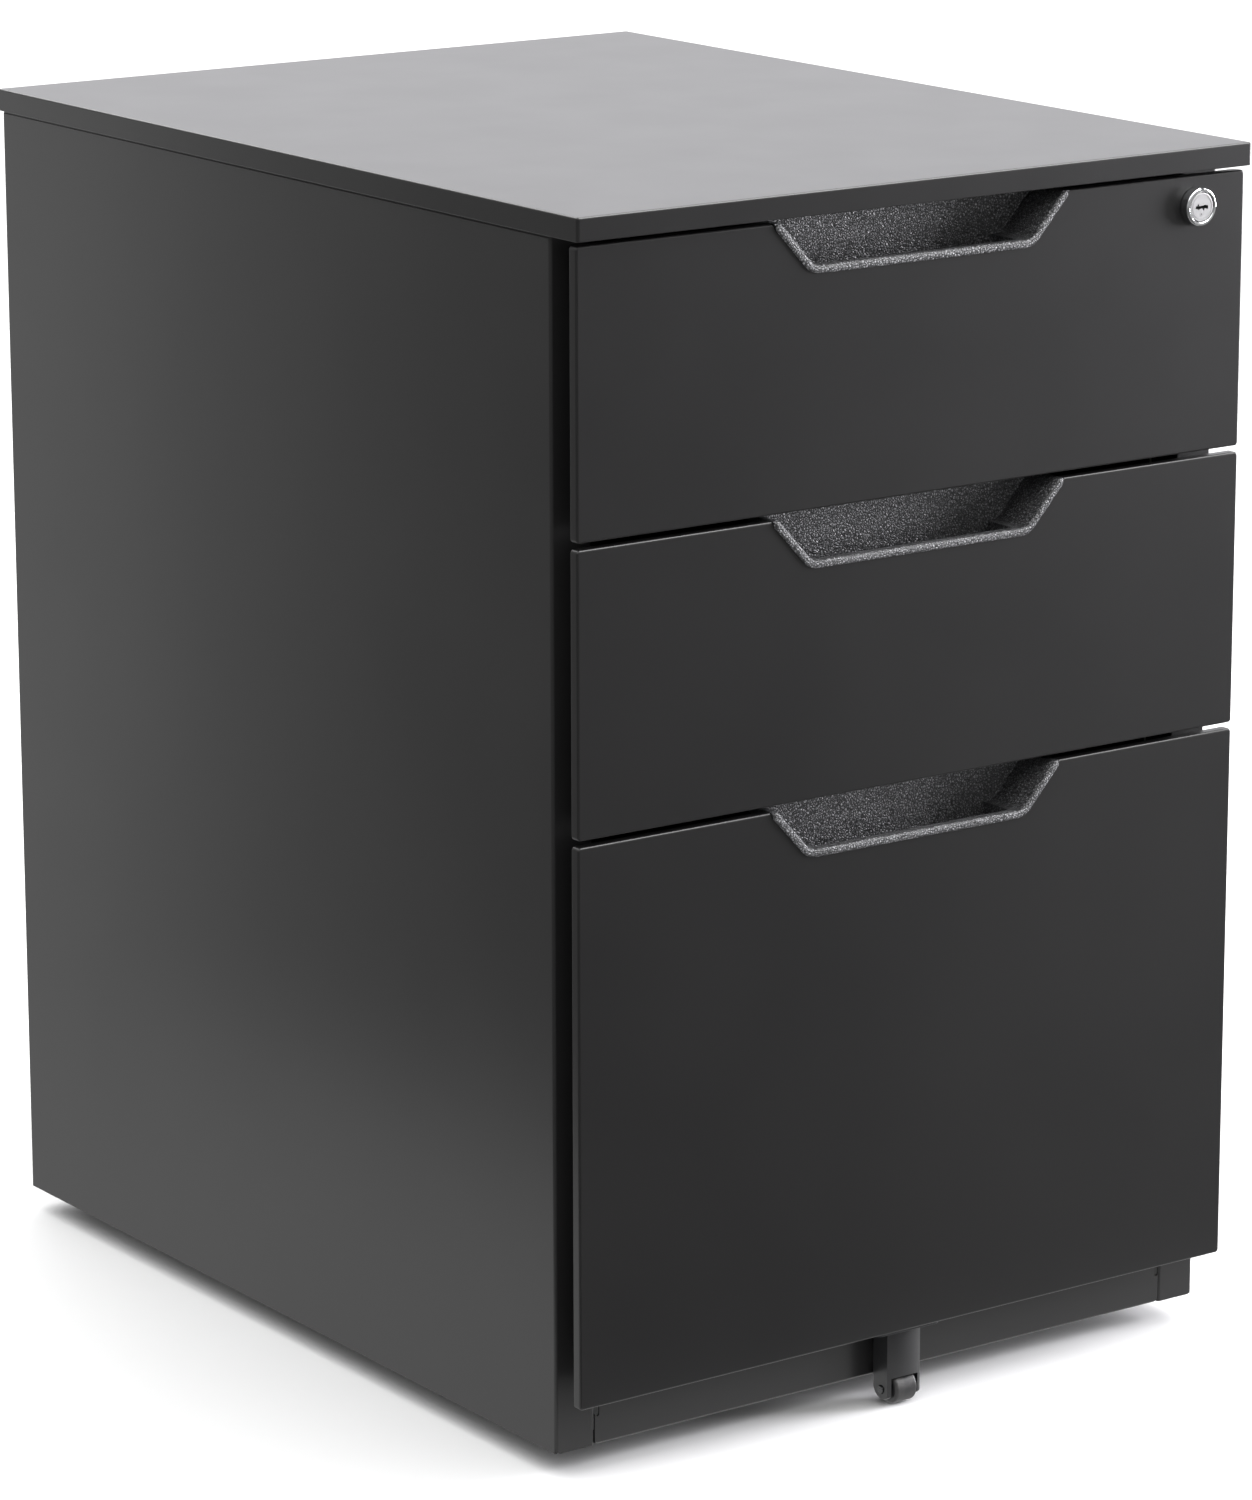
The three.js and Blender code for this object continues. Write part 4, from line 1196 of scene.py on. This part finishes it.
def make_caster_plate(corner, x, y):
    low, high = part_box(f"caster_plate_{corner}")
    base = high.z - 2 * MM
    shape = rectangle((low.x, high.x), (low.y, high.y), 4 * MM)
    piece = solid(f"swivel_plate_{corner}", "z", shape, (base, high.z), 0.3 * MM, 0.3 * MM)
    fork_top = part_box(f"caster_fork_{corner}")[1].z
    race_low = fork_top + GAP
    race = lathe("race", "z", (x, y, 0), [
        (0, race_low), (RACE_RADIUS - 1.2 * MM, race_low), (RACE_RADIUS, race_low + 0.8 * MM),
        (RACE_RADIUS, base - 0.6 * MM), (RACE_RADIUS + 0.8 * MM, base + 0.5 * MM), (0, base + 0.5 * MM),
    ])
    pin = cylinder("pin", "z", (x, y), KINGPIN_RADIUS, (low.z, base), 0.5 * MM)
    fuse(piece, race, pin)
    install(piece, "cabinet", ZINC, [f"caster_plate_{corner}"])
    bolt = cylinder("bolt", "z", (0, 0), 3.2 * MM, (-2.2 * MM, 0), 0.3 * MM, 6)
    spread = (-14.5 * MM, 14.5 * MM)
    moves = [Matrix.Translation((x + a, y + b, base)) for a in spread for b in spread]
    install(scatter(f"caster_bolts_{corner}", bolt, moves), "cabinet", ZINC)


def make_caster_fork(corner, x, y):
    low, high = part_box(f"caster_fork_{corner}")
    crown_low = high.z - FORK_SHEET
    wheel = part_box(f"caster_wheel_{corner}")
    axle_z = (wheel[0].z + wheel[1].z) / 2
    crown = lathe(f"fork_{corner}", "z", (x, y, 0), [
        (KINGPIN_RADIUS + GAP, crown_low), (RACE_RADIUS - 0.4 * MM, crown_low),
        (RACE_RADIUS, crown_low + 0.4 * MM), (RACE_RADIUS, high.z - 0.5 * MM),
        (RACE_RADIUS - 0.5 * MM, high.z), (KINGPIN_RADIUS + GAP, high.z),
    ])
    half = RACE_RADIUS - 2 * MM
    boss = arc((y + CASTER_TRAIL, axle_z), FORK_BOSS, 190, 365, 14)
    under = crown_low + 0.5 * FORK_SHEET
    leg = [(y - half, under), (y - half, under - 6 * MM)] + boss + [(y + half, under)]
    outer = FORK_INNER + FORK_SHEET
    legs = [
        plate("leg", "x", leg, (x - outer, x - FORK_INNER), 0.3 * MM),
        plate("leg", "x", leg, (x + FORK_INNER, x + outer), 0.3 * MM),
    ]
    fuse(crown, *legs)
    span = (x - outer - BEYOND, x + outer + BEYOND)
    carve(crown, cylinder("bore", "x", (y + CASTER_TRAIL, axle_z), AXLE_BORE, span, sides=32))
    install(crown, f"caster_swivel_{corner}", ZINC, [f"caster_fork_{corner}"])

    low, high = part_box(f"caster_axle_{corner}")
    head, shank = 4.5 * MM, 3 * MM
    reach = (high.x - low.x) / 2
    flat = reach - 1.2 * MM
    flank = [
        (shank, flat), (head, flat), (head - 0.2 * MM, flat + 0.5 * MM), (head - 1.4 * MM, reach),
        (0, reach),
    ]
    profile = [(r, -s) for r, s in flank[::-1]] + flank
    axle = lathe(f"wheel_axle_{corner}", "x", (x, y + CASTER_TRAIL, axle_z), profile, 32)
    install(axle, f"caster_swivel_{corner}", ZINC, [f"caster_axle_{corner}"])


def make_caster_wheel(corner, x, y):
    node = f"caster_wheel_{corner}"
    low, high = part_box(node)
    profile = wheel_profile(node, [(r * MM, depth * MM) for r, depth in WHEEL_FACE], 2.2 * MM)
    wheel = lathe(f"wheel_{corner}", "x", (x, y + CASTER_TRAIL, (low.z + high.z) / 2), profile, 72)
    install(wheel, node, RUBBER, [node], 40)


def make_casters():
    for corner in CORNERS:
        low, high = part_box(f"caster_plate_{corner}")
        x, y = (low.x + high.x) / 2, (low.y + high.y) / 2
        make_caster_plate(corner, x, y)
        make_caster_fork(corner, x, y)
        make_caster_wheel(corner, x, y)


# ================================================================ assembly

make_top_panel()
for side_name, side in SIDES.items():
    make_side_panel(side_name, side)
make_toe_rail()
make_back_panel()
make_inner_body()
make_slides()
make_drawers()
make_lock()
make_anti_tip()
make_casters()
